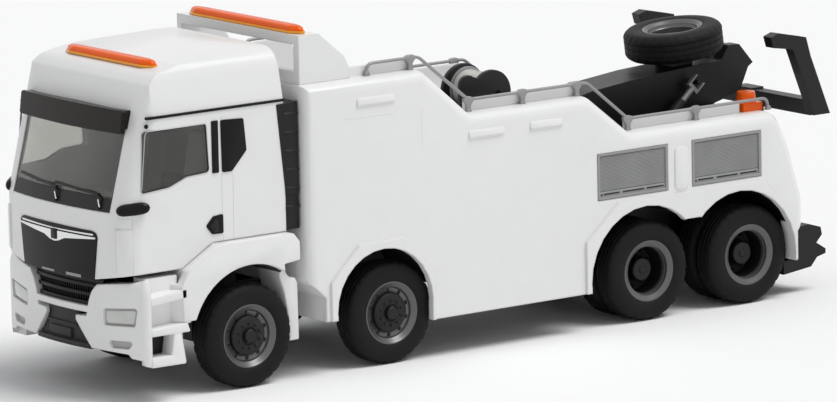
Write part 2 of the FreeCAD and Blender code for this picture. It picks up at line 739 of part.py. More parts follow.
def mudguard():
    """One side's guard with its steps; the flap hangs behind the tyre."""
    y0 = GUARD_IN_Y
    y1 = GUARD_OUT_Y
    gap = 0.1
    top = CAB_GUARD_LINE_Z - gap
    guard = side_plate([(STEP_FRONT_X, 13.3), (STEP_FRONT_X, 13.9), (10.2, 14.0),
                        (9.0, CAB_BOTTOM_Z - gap), (4.6, top, 2.5), (-6.1, top, 0.4),
                        (-6.9, 16.9), (-6.95, 14.6), (-4.0, 13.0), (0.0, 11.0),
                        (6.0, 6.0), (STEP_FRONT_X, 6.0)], y0, y1)
    guard = guard.cut(arch_cutter(0.0, TYRE_R, GUARD_R, y0 - 1.0, y1 + 1.0))
    guard = guard.cut(box(-4.3, 8.25, y0 - 1.0, y1 + 1.0, 2.0, 9.0))
    steps = box(STEP_BACK_X - 1.0, STEP_FRONT_X, STEP_IN_Y, y1, 4.45, 13.4)
    steps = steps.cut(box(STEP_BACK_X + 0.2, STEP_FRONT_X - 0.1, y1 - 1.7, y1 + 1.0, 9.25, 12.95))
    steps = steps.cut(box(11.7, STEP_FRONT_X - 0.35, STEP_IN_Y - 1.0, y1 + 1.0, 5.4, 8.0))
    flap = box(-7.45, -7.45 + FLAP_T, y0 + 0.3, FLAP_OUT_Y, FLAP_BOTTOM_Z, 13.2)
    hanger = side_plate([(-7.45, 12.9), (-6.45, 12.2), (-4.6, 13.3), (-4.9, 15.0),
                         (-6.9, 15.0)], y0 + 0.3, FLAP_OUT_Y)
    stay = box(10.2, 11.6, RAIL_IN_Y + RAIL_T, STEP_IN_Y + 0.2, 8.2, 9.8)
    piece = fused([guard, steps, flap, hanger, stay])
    return piece.cut(arch_cutter(0.0, TYRE_R, TYRE_R + 0.4, 8.0, TYRE_FACE_Y + 0.4))


def mudguards():
    save("mudguards", both_sides([mudguard()]))


# Body

REAR_PROFILE = [(-79.3, LOW_Z, 2.0), (-81.4, 19.5, 6.0), (-83.5, 12.5, 3.0)]


def body_profile():
    """The side outline of the white body, from its front foot round."""
    return ([(BODY_FRONT_X, BODY_FRONT_SILL_Z), (BODY_FRONT_X, TALL_Z), (-25.6, TALL_Z, 1.5),
             (-32.6, MID_Z, 1.5), (-50.3, MID_Z, 1.5), (-56.7, LOW_Z, 1.5)] + REAR_PROFILE
            + [(-83.5, 9.6), (-82.3, 8.3), (-82.3, BODY_SILL_Z), (-12.0, BODY_SILL_Z),
               (-12.0, BODY_FRONT_SILL_Z)])


def side_block():
    """The left side of the body, with a rounded shoulder along its outer edge."""
    outline = rounded(body_profile())
    count = len(outline)
    sill_top = 9.7
    shares = []
    for i in range(count):
        middle = outline[i].add(outline[(i + 1) % count]).multiply(0.5)
        shares.append(1.0 if middle.y > sill_top else 0.0)
    rows = [[V(p.x, TRAY_HALF_W, p.y) for p in outline]]
    for k in range(SHOULDER_FLATS + 1):
        a = math.pi / 2.0 * k / SHOULDER_FLATS
        depth = SHOULDER_R * (1.0 - math.cos(a))
        y = BODY_HALF_W - SHOULDER_R * (1.0 - math.sin(a))
        inner = drawn_in(outline, [depth * share for share in shares])
        rows.append([V(p.x, y, p.y) for p in inner])
    return skinned(rows)


ARCHES = [(-18.9, 7.3, 6.95), (-58.4, 5.9, 8.55), (-73.0, 5.8, 8.7)]


def arch_cutters():
    cutters = []
    w = BODY_HALF_W + 2.0
    for x, z, r in ARCHES:
        cutters.append(arch_cutter(x, z, r, 0.0, w))
        cutters.append(box(x - r, x + r, 0.0, w, 0.0, z))
    valley = ARCHES[1][0] - 6.0
    cutters.append(box(ARCHES[2][0] + 6.1, valley, 0.0, w, 0.0, 12.1))
    cutters.append(box(ARCHES[2][0], ARCHES[1][0], 0.0, w, 0.0, 9.0))
    return cutters


def flares():
    """Raised angular surrounds of the left wheel arches."""
    y0 = BODY_HALF_W
    y1 = BODY_HALF_W + FLARE_T
    single = side_plate([(-11.1, BODY_FRONT_SILL_Z), (-11.1, 11.1), (-15.25, 15.15),
                         (-21.65, 15.25), (-26.3, 10.9), (-26.3, BODY_SILL_Z),
                         (-12.0, BODY_SILL_Z), (-12.0, BODY_FRONT_SILL_Z)], y0, y1)
    double = side_plate([(-49.1, BODY_SILL_Z), (-49.1, 11.1), (-54.1, 15.4), (-77.1, 15.4),
                         (-81.9, 9.6), (-81.9, BODY_SILL_Z)], y0, y1)
    return [single, double]


def coaming():
    """The low upstand along the inner edge of the left side."""
    runs = [(-16.0, -24.8, TALL_Z), (-33.2, -49.9, MID_Z), (-57.4, COAMING_END_X, LOW_Z)]
    return [box(x0, x1, TRAY_HALF_W, TRAY_HALF_W + COAMING_T, z, z + COAMING_H)
            for x1, x0, z in runs]


def body_rooms(y0, y1):
    """The rooms under the decks, open at the bottom."""
    front = BODY_FRONT_X - FRONT_WALL_T
    return [box(BULKHEAD_X + FRONT_WALL_T, front, y0, y1, 0.0, DECK_Z - DECK_T),
            box(REAR_WALL_IN_X, front, y0, y1, 0.0, REAR_DECK_Z - DECK_T)]


def body_sides():
    side = fused([side_block()] + coaming() + flares())
    cutters = body_rooms(0.0, BODY_HALF_W - BODY_WALL) + arch_cutters()
    cutters.append(box(REAR_X, REAR_WALL_IN_X, 0.0, REAR_GAP_HALF_W, 0.0, REAR_GAP_TOP_Z))
    for x0, x1 in SHUTTERS:
        cutters.append(box(x0, x1, BODY_HALF_W - SHUTTER_T, BODY_HALF_W + 1.0,
                           SHUTTER_BOTTOM_Z, SHUTTER_TOP_Z))
    for cutter in cutters:
        side = side.cut(cutter)
    save("body_sides", both_sides([side]))


def body_deck():
    """Front wall, front deck, bulkhead, rear deck and rear wall between the sides."""
    w = TRAY_HALF_W
    deck = side_plate([(BODY_FRONT_X, BODY_FRONT_SILL_Z), (BODY_FRONT_X, TALL_Z),
                       (HEAD_SILL_X, TALL_Z), (HEAD_SILL_X, DECK_Z), (BULKHEAD_X, DECK_Z),
                       (BULKHEAD_X, LOW_Z)] + REAR_PROFILE
                      + [(-83.5, REAR_GAP_TOP_Z), (BODY_FRONT_X - 0.1, REAR_GAP_TOP_Z),
                         (BODY_FRONT_X - 0.1, BODY_FRONT_SILL_Z)], -w, w)
    front_foot = box(BODY_FRONT_X - FRONT_WALL_T, BODY_FRONT_X, -w, w, BODY_FRONT_SILL_Z, DECK_Z)
    deck = fused([deck, front_foot])
    cutters = body_rooms(-w - 1.0, w + 1.0)
    cutters.append(box(TRAY_END_X, BULKHEAD_X, -w - 1.0, w + 1.0, REAR_DECK_Z, TALL_Z))
    cutters.append(box(BODY_FRONT_X - 2.0, BODY_FRONT_X + 1.0, -RAIL_IN_Y - RAIL_T - 0.1,
                       RAIL_IN_Y + RAIL_T + 0.1, 0.0, RAIL_TOP_Z + 0.1))
    for cutter in cutters:
        deck = deck.cut(cutter)
    p = BODY_PAD_HALF_W
    pads = [box(-34.0, -32.0, -p, p, RAIL_TOP_Z, DECK_Z - DECK_T),
            box(-68.6, -66.0, -p, p, RAIL_TOP_Z, REAR_DECK_Z - DECK_T)]
    save("body_deck", [fused([deck] + pads)])


def body_bridge():
    """The bridge behind the cab that carries the rear light bar."""
    w = TRAY_HALF_W + 1.0
    cheek = side_plate([(HEAD_FRONT_X, TALL_Z), (HEAD_FRONT_X, HEAD_TOP_Z),
                        (HEAD_FRONT_X - HEAD_T, HEAD_TOP_Z),
                        (-15.3, HEAD_TOP_Z - HEAD_SHOULDER_DROP, 0.6),
                        (-16.0, TALL_Z + COAMING_H), (-16.0, TALL_Z)], TRAY_HALF_W, w)
    beam = box(HEAD_FRONT_X - HEAD_T, HEAD_FRONT_X, -w, w, HEAD_TOP_Z - HEAD_BEAM_H,
               HEAD_TOP_Z)
    sill = box(HEAD_SILL_X, HEAD_FRONT_X, -w, w, TALL_Z, TALL_Z + HEAD_SILL_H)
    save("body_bridge", [fused(both_sides([cheek]) + [beam, sill])])


SHUTTERS = [(-62.0, -51.1), (-76.6, -65.7)]


def shutters():
    panels = []
    gap = 0.05
    for x0, x1 in SHUTTERS:
        y0 = BODY_HALF_W - SHUTTER_T
        frame = box(x0 + gap, x1 - gap, y0, BODY_HALF_W + 0.05,
                    SHUTTER_BOTTOM_Z + gap, SHUTTER_TOP_Z - gap)
        inside = box(x0 + 0.4, x1 - 0.4, BODY_HALF_W - 0.12, BODY_HALF_W + 1.0,
                     SHUTTER_BOTTOM_Z + 0.4, SHUTTER_TOP_Z - 0.4)
        panels.append(frame.cut(inside))
    save("roller_shutters", both_sides(panels))


def deck_tray():
    """The black rear tray with the ears and base lugs of the boom."""
    y = TRAY_HALF_W
    x0 = TRAY_END_X
    x1 = BULKHEAD_X
    floor_z = REAR_DECK_Z + TRAY_FLOOR_T
    pieces = [box(x0, x1, -y, y, REAR_DECK_Z, floor_z)]
    rim_z = LOW_Z - TRAY_WALL_DROP
    walls = side_plate([(x0, REAR_DECK_Z), (x1, REAR_DECK_Z), (x1, MID_Z - 0.6), (-56.4, rim_z),
                        (x0, rim_z)], y - TRAY_WALL_T, y)
    pieces += both_sides([walls])
    pieces.append(box(x1 - TRAY_WALL_T, x1, -y, y, REAR_DECK_Z, DECK_Z - 0.2))
    ear_y = BOOM_HALF_W + 0.15
    ear = side_plate([(BOOM_PIVOT_X - 2.4, floor_z - 0.1), (BOOM_PIVOT_X + 2.0, floor_z - 0.1),
                      (BOOM_PIVOT_X + 1.3, BOOM_PIVOT_Z + 1.3, 1.2),
                      (BOOM_PIVOT_X - 1.3, BOOM_PIVOT_Z + 1.3, 1.2)], ear_y, ear_y + EAR_T)
    ear = ear.cut(cylinder_y(BOOM_PIVOT_X, BOOM_PIVOT_Z, BOOM_TRUNNION_R + PIN_PLAY, 0.0, 9.0))
    lugs = []
    reach = RAM_BARREL_R + RAM_LUG_GAP
    for y0 in (RAM_Y + reach, RAM_Y - reach - RAM_LUG_T):
        lugs.append(side_plate([(RAM_BASE_X - 1.6, floor_z - 0.1),
                                (RAM_BASE_X + 1.6, floor_z - 0.1),
                                (RAM_BASE_X + 1.0, RAM_BASE_Z + 0.9),
                                (RAM_BASE_X - 1.0, RAM_BASE_Z + 0.9)], y0, y0 + RAM_LUG_T))
    lugs.append(cylinder_y(RAM_BASE_X, RAM_BASE_Z, RAM_PIN_R, RAM_Y - reach - 0.1,
                           RAM_Y + reach + 0.1))
    pieces += both_sides([ear] + lugs)
    save("deck_tray", [fused(pieces)])


def rail_path():
    """Middle of one side rail, front to back, as (x, z)."""
    t = RAIL_LIFT
    return [(-18.4, TALL_Z), (-18.5, TALL_Z + t), (-26.1, TALL_Z + t), (-33.4, MID_Z + t),
            (-51.3, MID_Z + t), (-57.5, LOW_Z + t), (RAIL_END_X - 0.1, LOW_Z + t),
            (RAIL_END_X - 0.3, LOW_Z + 1.0), (RAIL_END_X + 0.1, LOW_Z)]


def strip_outline(path, half):
    """The outline of a flat bar that follows an open path."""
    count = len(path)
    left = []
    right = []
    for i, (x, z) in enumerate(path):
        runs = []
        if i > 0:
            runs.append(V(x - path[i - 1][0], z - path[i - 1][1], 0).normalize())
        if i < count - 1:
            runs.append(V(path[i + 1][0] - x, path[i + 1][1] - z, 0).normalize())
        along = V(runs[0]).add(runs[-1]).normalize()
        reach = half / along.dot(runs[0])
        left.append((x - along.y * reach, z + along.x * reach))
        right.append((x + along.y * reach, z - along.x * reach))
    return left + right[::-1]


def side_rails():
    half_t = POST_T / 2.0
    pieces = [side_plate(strip_outline(rail_path(), RAIL_HALF_H), RAIL_Y - half_t,
                         RAIL_Y + half_t).cut(box(REAR_X, 0.0, 0.0, BODY_HALF_W, 0.0, LOW_Z))]
    posts = [(-24.9, TALL_Z), (-33.4, MID_Z), (-41.5, MID_Z), (-49.75, MID_Z), (-57.5, LOW_Z),
             (-68.1, LOW_Z)]
    w = POST_W / 2.0
    t = RAIL_LIFT
    for x, z in posts:
        pieces.append(side_plate([(x - w, z), (x + w, z), (x + w, z + t - 0.3),
                                  (x + POST_W, z + t + 0.2), (x - POST_W, z + t + 0.2),
                                  (x - w, z + t - 0.3)], RAIL_Y - half_t, RAIL_Y + half_t))
    save("side_rails", both_sides([fused(pieces)]))


def winch():
    """Rope drum across the deck between its end plates."""
    x = -43.2
    z = 29.6
    r = 1.75
    half = 4.6
    feet = []
    for side in (1.0, -1.0):
        y0, y1 = sorted((side * half, side * (half + 0.7)))
        feet.append(side_plate([(x - 2.2, DECK_Z), (x + 4.6, DECK_Z), (x + 4.7, z + 0.15, 1.0),
                                (x + 3.9, z + 1.6, 0.9), (x + 2.4, z + 1.3),
                                (x + 1.4, z + 2.1, 1.0), (x - 1.4, z + 2.1, 1.4),
                                (x - 2.2, z + 0.2, 1.0)], y0, y1))
    base = box(x - 2.2, x + 4.6, -half, half, DECK_Z, DECK_Z + 0.6)
    save("winch_frame", [fused(feet + [base])])
    save("winch_drum", [ring([(0.0, -half), (r, -half), (r, half), (0.0, half)], x, z,
                             HUB_FLATS)])


# Boom and its rams

def boom_outline():
    px, pz = BOOM_PIVOT_X, BOOM_PIVOT_Z
    return [(px + 1.2, pz - 1.2, 1.1), (px + 1.2, pz + 1.4, 1.1), (-58.8, 27.0, 6.0),
            (-68.1, 28.0, 6.0), (-79.7, 28.65), (-80.95, 30.4, 0.2), (-82.6, 30.35, 0.2),
            (-84.75, 27.85), (-84.0, 27.35), (-82.6, 24.4, 0.4), (-75.5, 22.6, 4.0),
            (-60.0, 21.0, 4.0)]


def boom():
    beam = side_plate(boom_outline(), -BOOM_HALF_W, BOOM_HALF_W)
    slot = side_plate([(-79.4, 31.5), (-79.4, 25.6), (-86.0, 25.6), (-86.0, 31.5)], -1.3, 1.3)
    beam = beam.cut(slot)
    trunnion_y = BOOM_HALF_W + 0.15 + EAR_T
    trunnions = cylinder_y(BOOM_PIVOT_X, BOOM_PIVOT_Z, BOOM_TRUNNION_R, -trunnion_y, trunnion_y)
    pin_y = RAM_Y + 0.55
    pins = cylinder_y(RAM_PIN_X, RAM_PIN_Z, RAM_PIN_R, -pin_y, pin_y)
    save("boom", [fused([beam, trunnions, pins])])
    save("boom_sheave", [ring([(0.0, -1.2), (1.6, -1.2), (1.3, 0.0), (1.6, 1.2), (0.0, 1.2)],
                              -81.3, 27.9, HUB_FLATS)])


def ram_angle():
    return math.degrees(math.atan2(RAM_PIN_Z - RAM_BASE_Z, RAM_BASE_X - RAM_PIN_X))


def ram_length():
    return math.hypot(RAM_PIN_Z - RAM_BASE_Z, RAM_BASE_X - RAM_PIN_X)


def aimed_ram(shape):
    """Lay a piece drawn along -X at the base pivot along the ram's line."""
    shape.translate(V(RAM_BASE_X, RAM_Y, RAM_BASE_Z))
    return tilted(shape, RAM_BASE_X, RAM_BASE_Z, ram_angle())


def rams():
    length = ram_length()
    r = RAM_BARREL_R
    barrel = ring([(0.0, RAM_NECK_L), (r, RAM_NECK_L), (r, RAM_BARREL_L), (0.0, RAM_BARREL_L)],
                  0.0, 0.0, RAM_BARREL_FLATS)
    barrel.rotate(V(0, 0, 0), V(0, 0, 1), 90)
    eye = box(-RAM_NECK_L - 0.3, 0.75, -0.7, 0.7, -0.75, 0.75)
    barrel = fused([barrel, eye])
    barrel = barrel.cut(Part.makeCylinder(RAM_ROD_R + RAM_ROD_PLAY, RAM_BARREL_L,
                                          V(-RAM_BORE_START, 0, 0), V(-1, 0, 0)))
    barrel = barrel.cut(cylinder_y(0.0, 0.0, RAM_PIN_R + PIN_PLAY, -1.0, 1.0))
    save("ram_barrels", both_sides([aimed_ram(barrel)]))
    slot_half = RAM_PIN_R + RAM_EYE_PLAY
    fork_half = slot_half + RAM_EYE_WALL
    rod_start = RAM_BORE_START + 0.3
    rod = Part.makeCylinder(RAM_ROD_R, length - 1.0 - rod_start, V(-rod_start, 0, 0),
                            V(-1, 0, 0))
    fork = box(-length - 0.6, -length + 1.2, -0.3, 0.3, -fork_half, fork_half)
    slot = box(-length - 1.0, -length + slot_half, -0.5, 0.5, -slot_half, slot_half)
    save("ram_rods", both_sides([aimed_ram(fused([rod, fork.cut(slot)]))]))


def spare_wheel():
    """A wheel lying on its carrier over the boom."""
    bottom = SPARE_TOP_Z - TYRE_W
    middle = bottom + TYRE_W / 2.0

    def lying(profile, flats):
        """A ring about an upright axis; a point is (radius, height over the bottom)."""
        piece = ring(profile, 0.0, 0.0, flats)
        piece.rotate(V(0, 0, 0), V(1, 0, 0), 90)
        piece.translate(V(SPARE_X, 0, bottom))
        return tilted(piece, SPARE_X, middle, SPARE_TILT)

    s = TYRE_SHOULDER
    w = TYRE_W
    lip = RIM_R - RIM_WALL
    dish = w - FRONT_DISC_DEPTH - 1.0
    save("spare_tyre", [lying([(RIM_R, 0.0), (TYRE_R - s, 0.0), (TYRE_R, s), (TYRE_R, w - s),
                               (TYRE_R - s, w), (RIM_R, w)], WHEEL_FLATS)])
    save("spare_rim", [lying([(0.0, 0.4), (RIM_R, 0.4), (RIM_R, w - 0.1), (lip, w - 0.1),
                              (lip, dish), (0.0, dish)], WHEEL_FLATS)])
    plate = lying([(0.0, -0.5), (3.2, -0.5), (3.2, 0.4), (0.0, 0.4)], HUB_FLATS)
    stem = box(SPARE_X - 1.5, SPARE_X + 1.5, -1.8, 1.8, 28.0, bottom - 0.1)
    carrier = fused([plate, stem.cut(plate)]).cut(side_plate(boom_outline(), -4.0, 4.0))
    save("spare_carrier", [carrier])


# Underlift

def rear_beam():
    """The low beam behind the body, with a clevis for the stinger."""
    end = side_plate([(-81.6, 2.6), (-86.0, 3.1), (-87.0, 4.2), (REAR_X, 4.5), (REAR_X, 5.1),
                      (-86.9, 6.0), (-87.8, 6.95), (-87.6, 7.9), (-85.7, 8.5), (-84.0, 8.3),
                      (-82.9, 7.4), (-82.4, 7.4), (-82.4, 4.3), (-81.6, 4.3)], 10.9, 12.4)
    beam = side_plate([(-82.4, 3.2), (-86.4, 3.4), (-86.9, 4.4), (-86.9, 6.6), (-85.6, 7.8),
                       (-82.9, 7.6), (-82.4, 6.8)], CLEVIS_IN_Y, 10.9)
    lug = cylinder_y(LIFT_PIVOT_X, LIFT_PIVOT_Z, LIFT_LUG_R, CLEVIS_IN_Y, CLEVIS_OUT_Y)
    link = box(CHASSIS_REAR_X - 1.6, CHASSIS_REAR_X, -4.2, 4.2, 3.4, RAIL_TOP_Z)
    web = box(-83.6, -82.8, -CLEVIS_IN_Y, CLEVIS_IN_Y, 3.4, 7.4)
    piece = fused(both_sides([end, beam, lug]) + [link, web])
    piece = piece.cut(cylinder_y(LIFT_PIVOT_X, LIFT_PIVOT_Z, LIFT_PIN_R + PIN_PLAY,
                                 -CLEVIS_OUT_Y, CLEVIS_OUT_Y))
    save("rear_beam", [piece])


def stinger():
    half = STINGER_HALF_W
    x0 = LIFT_PIVOT_X - STINGER_T / 2.0
    foot_z = LIFT_PIVOT_Z - 1.2
    head_z = BAR_Z + 1.15
    arm = side_plate([(x0, foot_z, 0.8), (x0 + STINGER_T, foot_z, 0.8), (x0 + STINGER_T, head_z),
                      (x0, head_z)], -half, half)
    pin = cylinder_y(LIFT_PIVOT_X, LIFT_PIVOT_Z, LIFT_PIN_R, -CLEVIS_OUT_Y, CLEVIS_OUT_Y)
    arm = fused([arm, pin])
    arm = arm.cut(cylinder_y(LIFT_PIVOT_X, BAR_Z, BAR_PIN_R + PIN_PLAY, -half, half))
    save("underlift_stinger", [arm])


def crossbar():
    """The lateral bar with its two upright forks."""
    t = BAR_THICK / 2.0
    x = LIFT_PIVOT_X
    bars = both_sides([box(x - t, x + t, STINGER_HALF_W + 0.15, FORK_Y, BAR_Z - t, BAR_Z + t)])
    pin = cylinder_y(x, BAR_Z, BAR_PIN_R, -STINGER_HALF_W - 0.5, STINGER_HALF_W + 0.5)
    z = BAR_Z
    fork = side_plate([(x - 1.7, z - 0.85), (x + 0.9, z - 0.85), (x + 1.6, z + 1.45),
                       (x + 4.1, z + 7.75), (x + 7.2, z + 8.25), (x + 7.6, z + 9.6),
                       (x + 6.4, z + 10.0), (x + 2.0, z + 9.05), (x + 1.3, z + 6.65)],
                      FORK_Y - FORK_T / 2.0, FORK_Y + FORK_T / 2.0)
    save("underlift_crossbar", [fused(bars + both_sides([fork]) + [pin])])


# Lamps on the body

def body_lamps():
    """Tail lamps, and the rear beacons on the ledges beside the tray."""
    base = box(BEACON_X - 1.5, BEACON_X + 1.5, BEACON_Y - BEACON_R, RAIL_Y - POST_T / 2.0 - 0.1,
               LOW_Z, LOW_Z + BEACON_BASE_H)
    dome = ring([(0.0, BEACON_BASE_H), (BEACON_R, BEACON_BASE_H), (BEACON_R - 0.2, BEACON_H),
                 (0.0, BEACON_H)], 0.0, 0.0, HUB_FLATS)
    dome.rotate(V(0, 0, 0), V(1, 0, 0), 90)
    dome.translate(V(BEACON_X, BEACON_Y, LOW_Z))
    tail = box(-83.2, -82.4, REAR_GAP_HALF_W - TAIL_LAMP_W, REAR_GAP_HALF_W,
               REAR_GAP_TOP_Z - 1.7, REAR_GAP_TOP_Z)
    save("tail_lamps", both_sides([tail]))
    return both_sides([fused([base, dome])])


def main():
    wheelset(1, 0.0, False)
    wheelset(2, AXLE_2_X, False)
    wheelset(3, AXLE_3_X, True)
    wheelset(4, AXLE_4_X, True)
    chassis()
    outer = cab_block(0.0, CAB_BOTTOM_Z)
    cab(outer)
    cab_glazing()
    cab_interior()
    save("sun_visor", [visor(outer)])
    cab_trim(outer)
    grille()
    cab_bar = light_bar(CAB_BAR_X, ROOF_FRONT_Z - 0.5, CAB_BAR_HALF_L).cut(outer)
    body_bar = light_bar(HEAD_FRONT_X - HEAD_T / 2.0, HEAD_TOP_Z, BODY_BAR_HALF_L)
    save("light_bars", [cab_bar, body_bar])
    save("rear_beacons", body_lamps())
    air_stack()
    bumper_centre(bumper())
    mudguards()
    body_sides()
    body_deck()
    body_bridge()
    shutters()
    deck_tray()
    side_rails()
    winch()
    boom()
    rams()
    spare_wheel()
    rear_beam()
    stinger()
    crossbar()


main()
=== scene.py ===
from math import cos, pi, radians, sin, sqrt, tan
import bmesh
import bpy
from mathutils import Matrix, Vector


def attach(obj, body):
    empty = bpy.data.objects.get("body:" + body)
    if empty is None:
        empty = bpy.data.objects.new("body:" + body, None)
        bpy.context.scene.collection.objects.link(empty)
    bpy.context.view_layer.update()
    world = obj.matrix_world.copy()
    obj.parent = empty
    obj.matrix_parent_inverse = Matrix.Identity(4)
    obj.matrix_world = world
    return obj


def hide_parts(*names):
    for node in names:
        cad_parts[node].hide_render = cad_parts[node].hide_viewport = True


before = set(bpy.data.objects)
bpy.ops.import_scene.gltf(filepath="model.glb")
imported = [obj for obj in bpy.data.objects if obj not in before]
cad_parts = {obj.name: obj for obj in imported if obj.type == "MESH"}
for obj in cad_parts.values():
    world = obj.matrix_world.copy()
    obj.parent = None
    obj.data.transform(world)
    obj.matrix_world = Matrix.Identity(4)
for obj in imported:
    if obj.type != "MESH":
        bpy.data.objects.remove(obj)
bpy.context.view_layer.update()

# Sizes are millimetres from the first axle at ground level, as in the part's source.
MM = 0.001
SHIFT_X = 34.8

AXLES = {1: 0.0, 2: -20.6, 3: -59.5, 4: -75.2}
TWINS = (3, 4)
WHEEL_Z = 6.15
TYRE_R = 6.15
TYRE_FACE_Y = 13.65
TYRE_W = 3.6
TWIN_W = 7.3
TWIN_GAP = 0.7
TYRE_SEGMENTS = 120
GROOVE_DEPTH = 0.12
NOTCH_DEPTH = 0.13
CUT_DEPTH = 0.05
RIM_R = 3.8
RIM_FACE_Y = TYRE_FACE_Y - 0.15
RIM_SEGMENTS = 72
WHEEL_BOLTS = 10
SPARE_CENTRE = (-74.6, 0.0, 31.4)
SPARE_LEAN = radians(7.0)

CAB_HALF_W = 12.9
CAB_BACK_X = -6.0
CAB_BOTTOM_Z = 15.25
CAB_WALL = 0.8
GUARD_LINE_Z = 17.8
BELT_Z = 22.4
BROW_Z = 41.0
DRIP_Z = 33.2
ROOF_BACK_Z = 39.5
ROOF_HALF_W = 11.6
SCREEN_TOP_Z = 32.9
SCREEN_HALF_W = 10.05
TRIM_OUT = 0.14
DEFLECTOR_END_DEG = 62.0
PAST_CAB_Y = 14.0
BAR_W = 2.1

GUARD_OUT_Y = 14.3
BUMPER_HALF_W = GUARD_OUT_Y
BUMPER_BACK_X = 14.35
BUMPER_WALL = 1.6
STEP_NOSE_X = BUMPER_BACK_X + 0.05
WELL_MARGIN = 0.16
FOG_WELL_MARGIN = 0.12

# Bowed fronts: x of the nose, radius and half angle of the bow, radius of the corners.
BELT_BOW = (17.8, 52.0, radians(11.5), 2.5)
BROW_BOW = (12.33, 11.5, radians(21.5), 1.8)
BUMPER_BOW = (17.5, 44.0, radians(18.0), 1.0)
BUMPER_INSIDE_BOW = (BUMPER_BOW[0] - BUMPER_WALL, 40.0, BUMPER_BOW[2], 0.4)
BOW_STEPS = 14
CORNER_STEPS = 10

BODY_HALF_W = 14.4
BODY_FRONT_X = -8.2
SETBACK_X = -10.5
SETBACK_Z = 9.4
DECK_Z = 26.55
RAIL_Y = 12.3
RAIL_LIFT = 1.45

# The photograph's view of a point in the truck's middle plane, slid across and up.
VIEW_TARGET = (-40.0, 0.0, 15.0)
VIEW_SLIDE = (-4.139, 0.512)
VIEW_TURN = radians(36.45)
VIEW_RISE = radians(10.214)
VIEW_ROLL = radians(1.215)
VIEW_DISTANCE = 870.04
FOCAL_LENGTH = 308.41
SENSOR_W = 36.0

KEY_TOWARDS = (0.34, -0.36, -1.0)
KEY_STRENGTH = 1.9
KEY_SOFTNESS = radians(30.0)


# Shapes

def placed(name, data):
    """A new object of the scene."""
    thing = bpy.data.objects.new(name, data)
    bpy.context.scene.collection.objects.link(thing)
    return thing


def heading(path, k):
    """The direction of a path at its point k."""
    return (Vector(path[min(k + 1, len(path) - 1)]) - Vector(path[max(k - 1, 0)])).normalized()


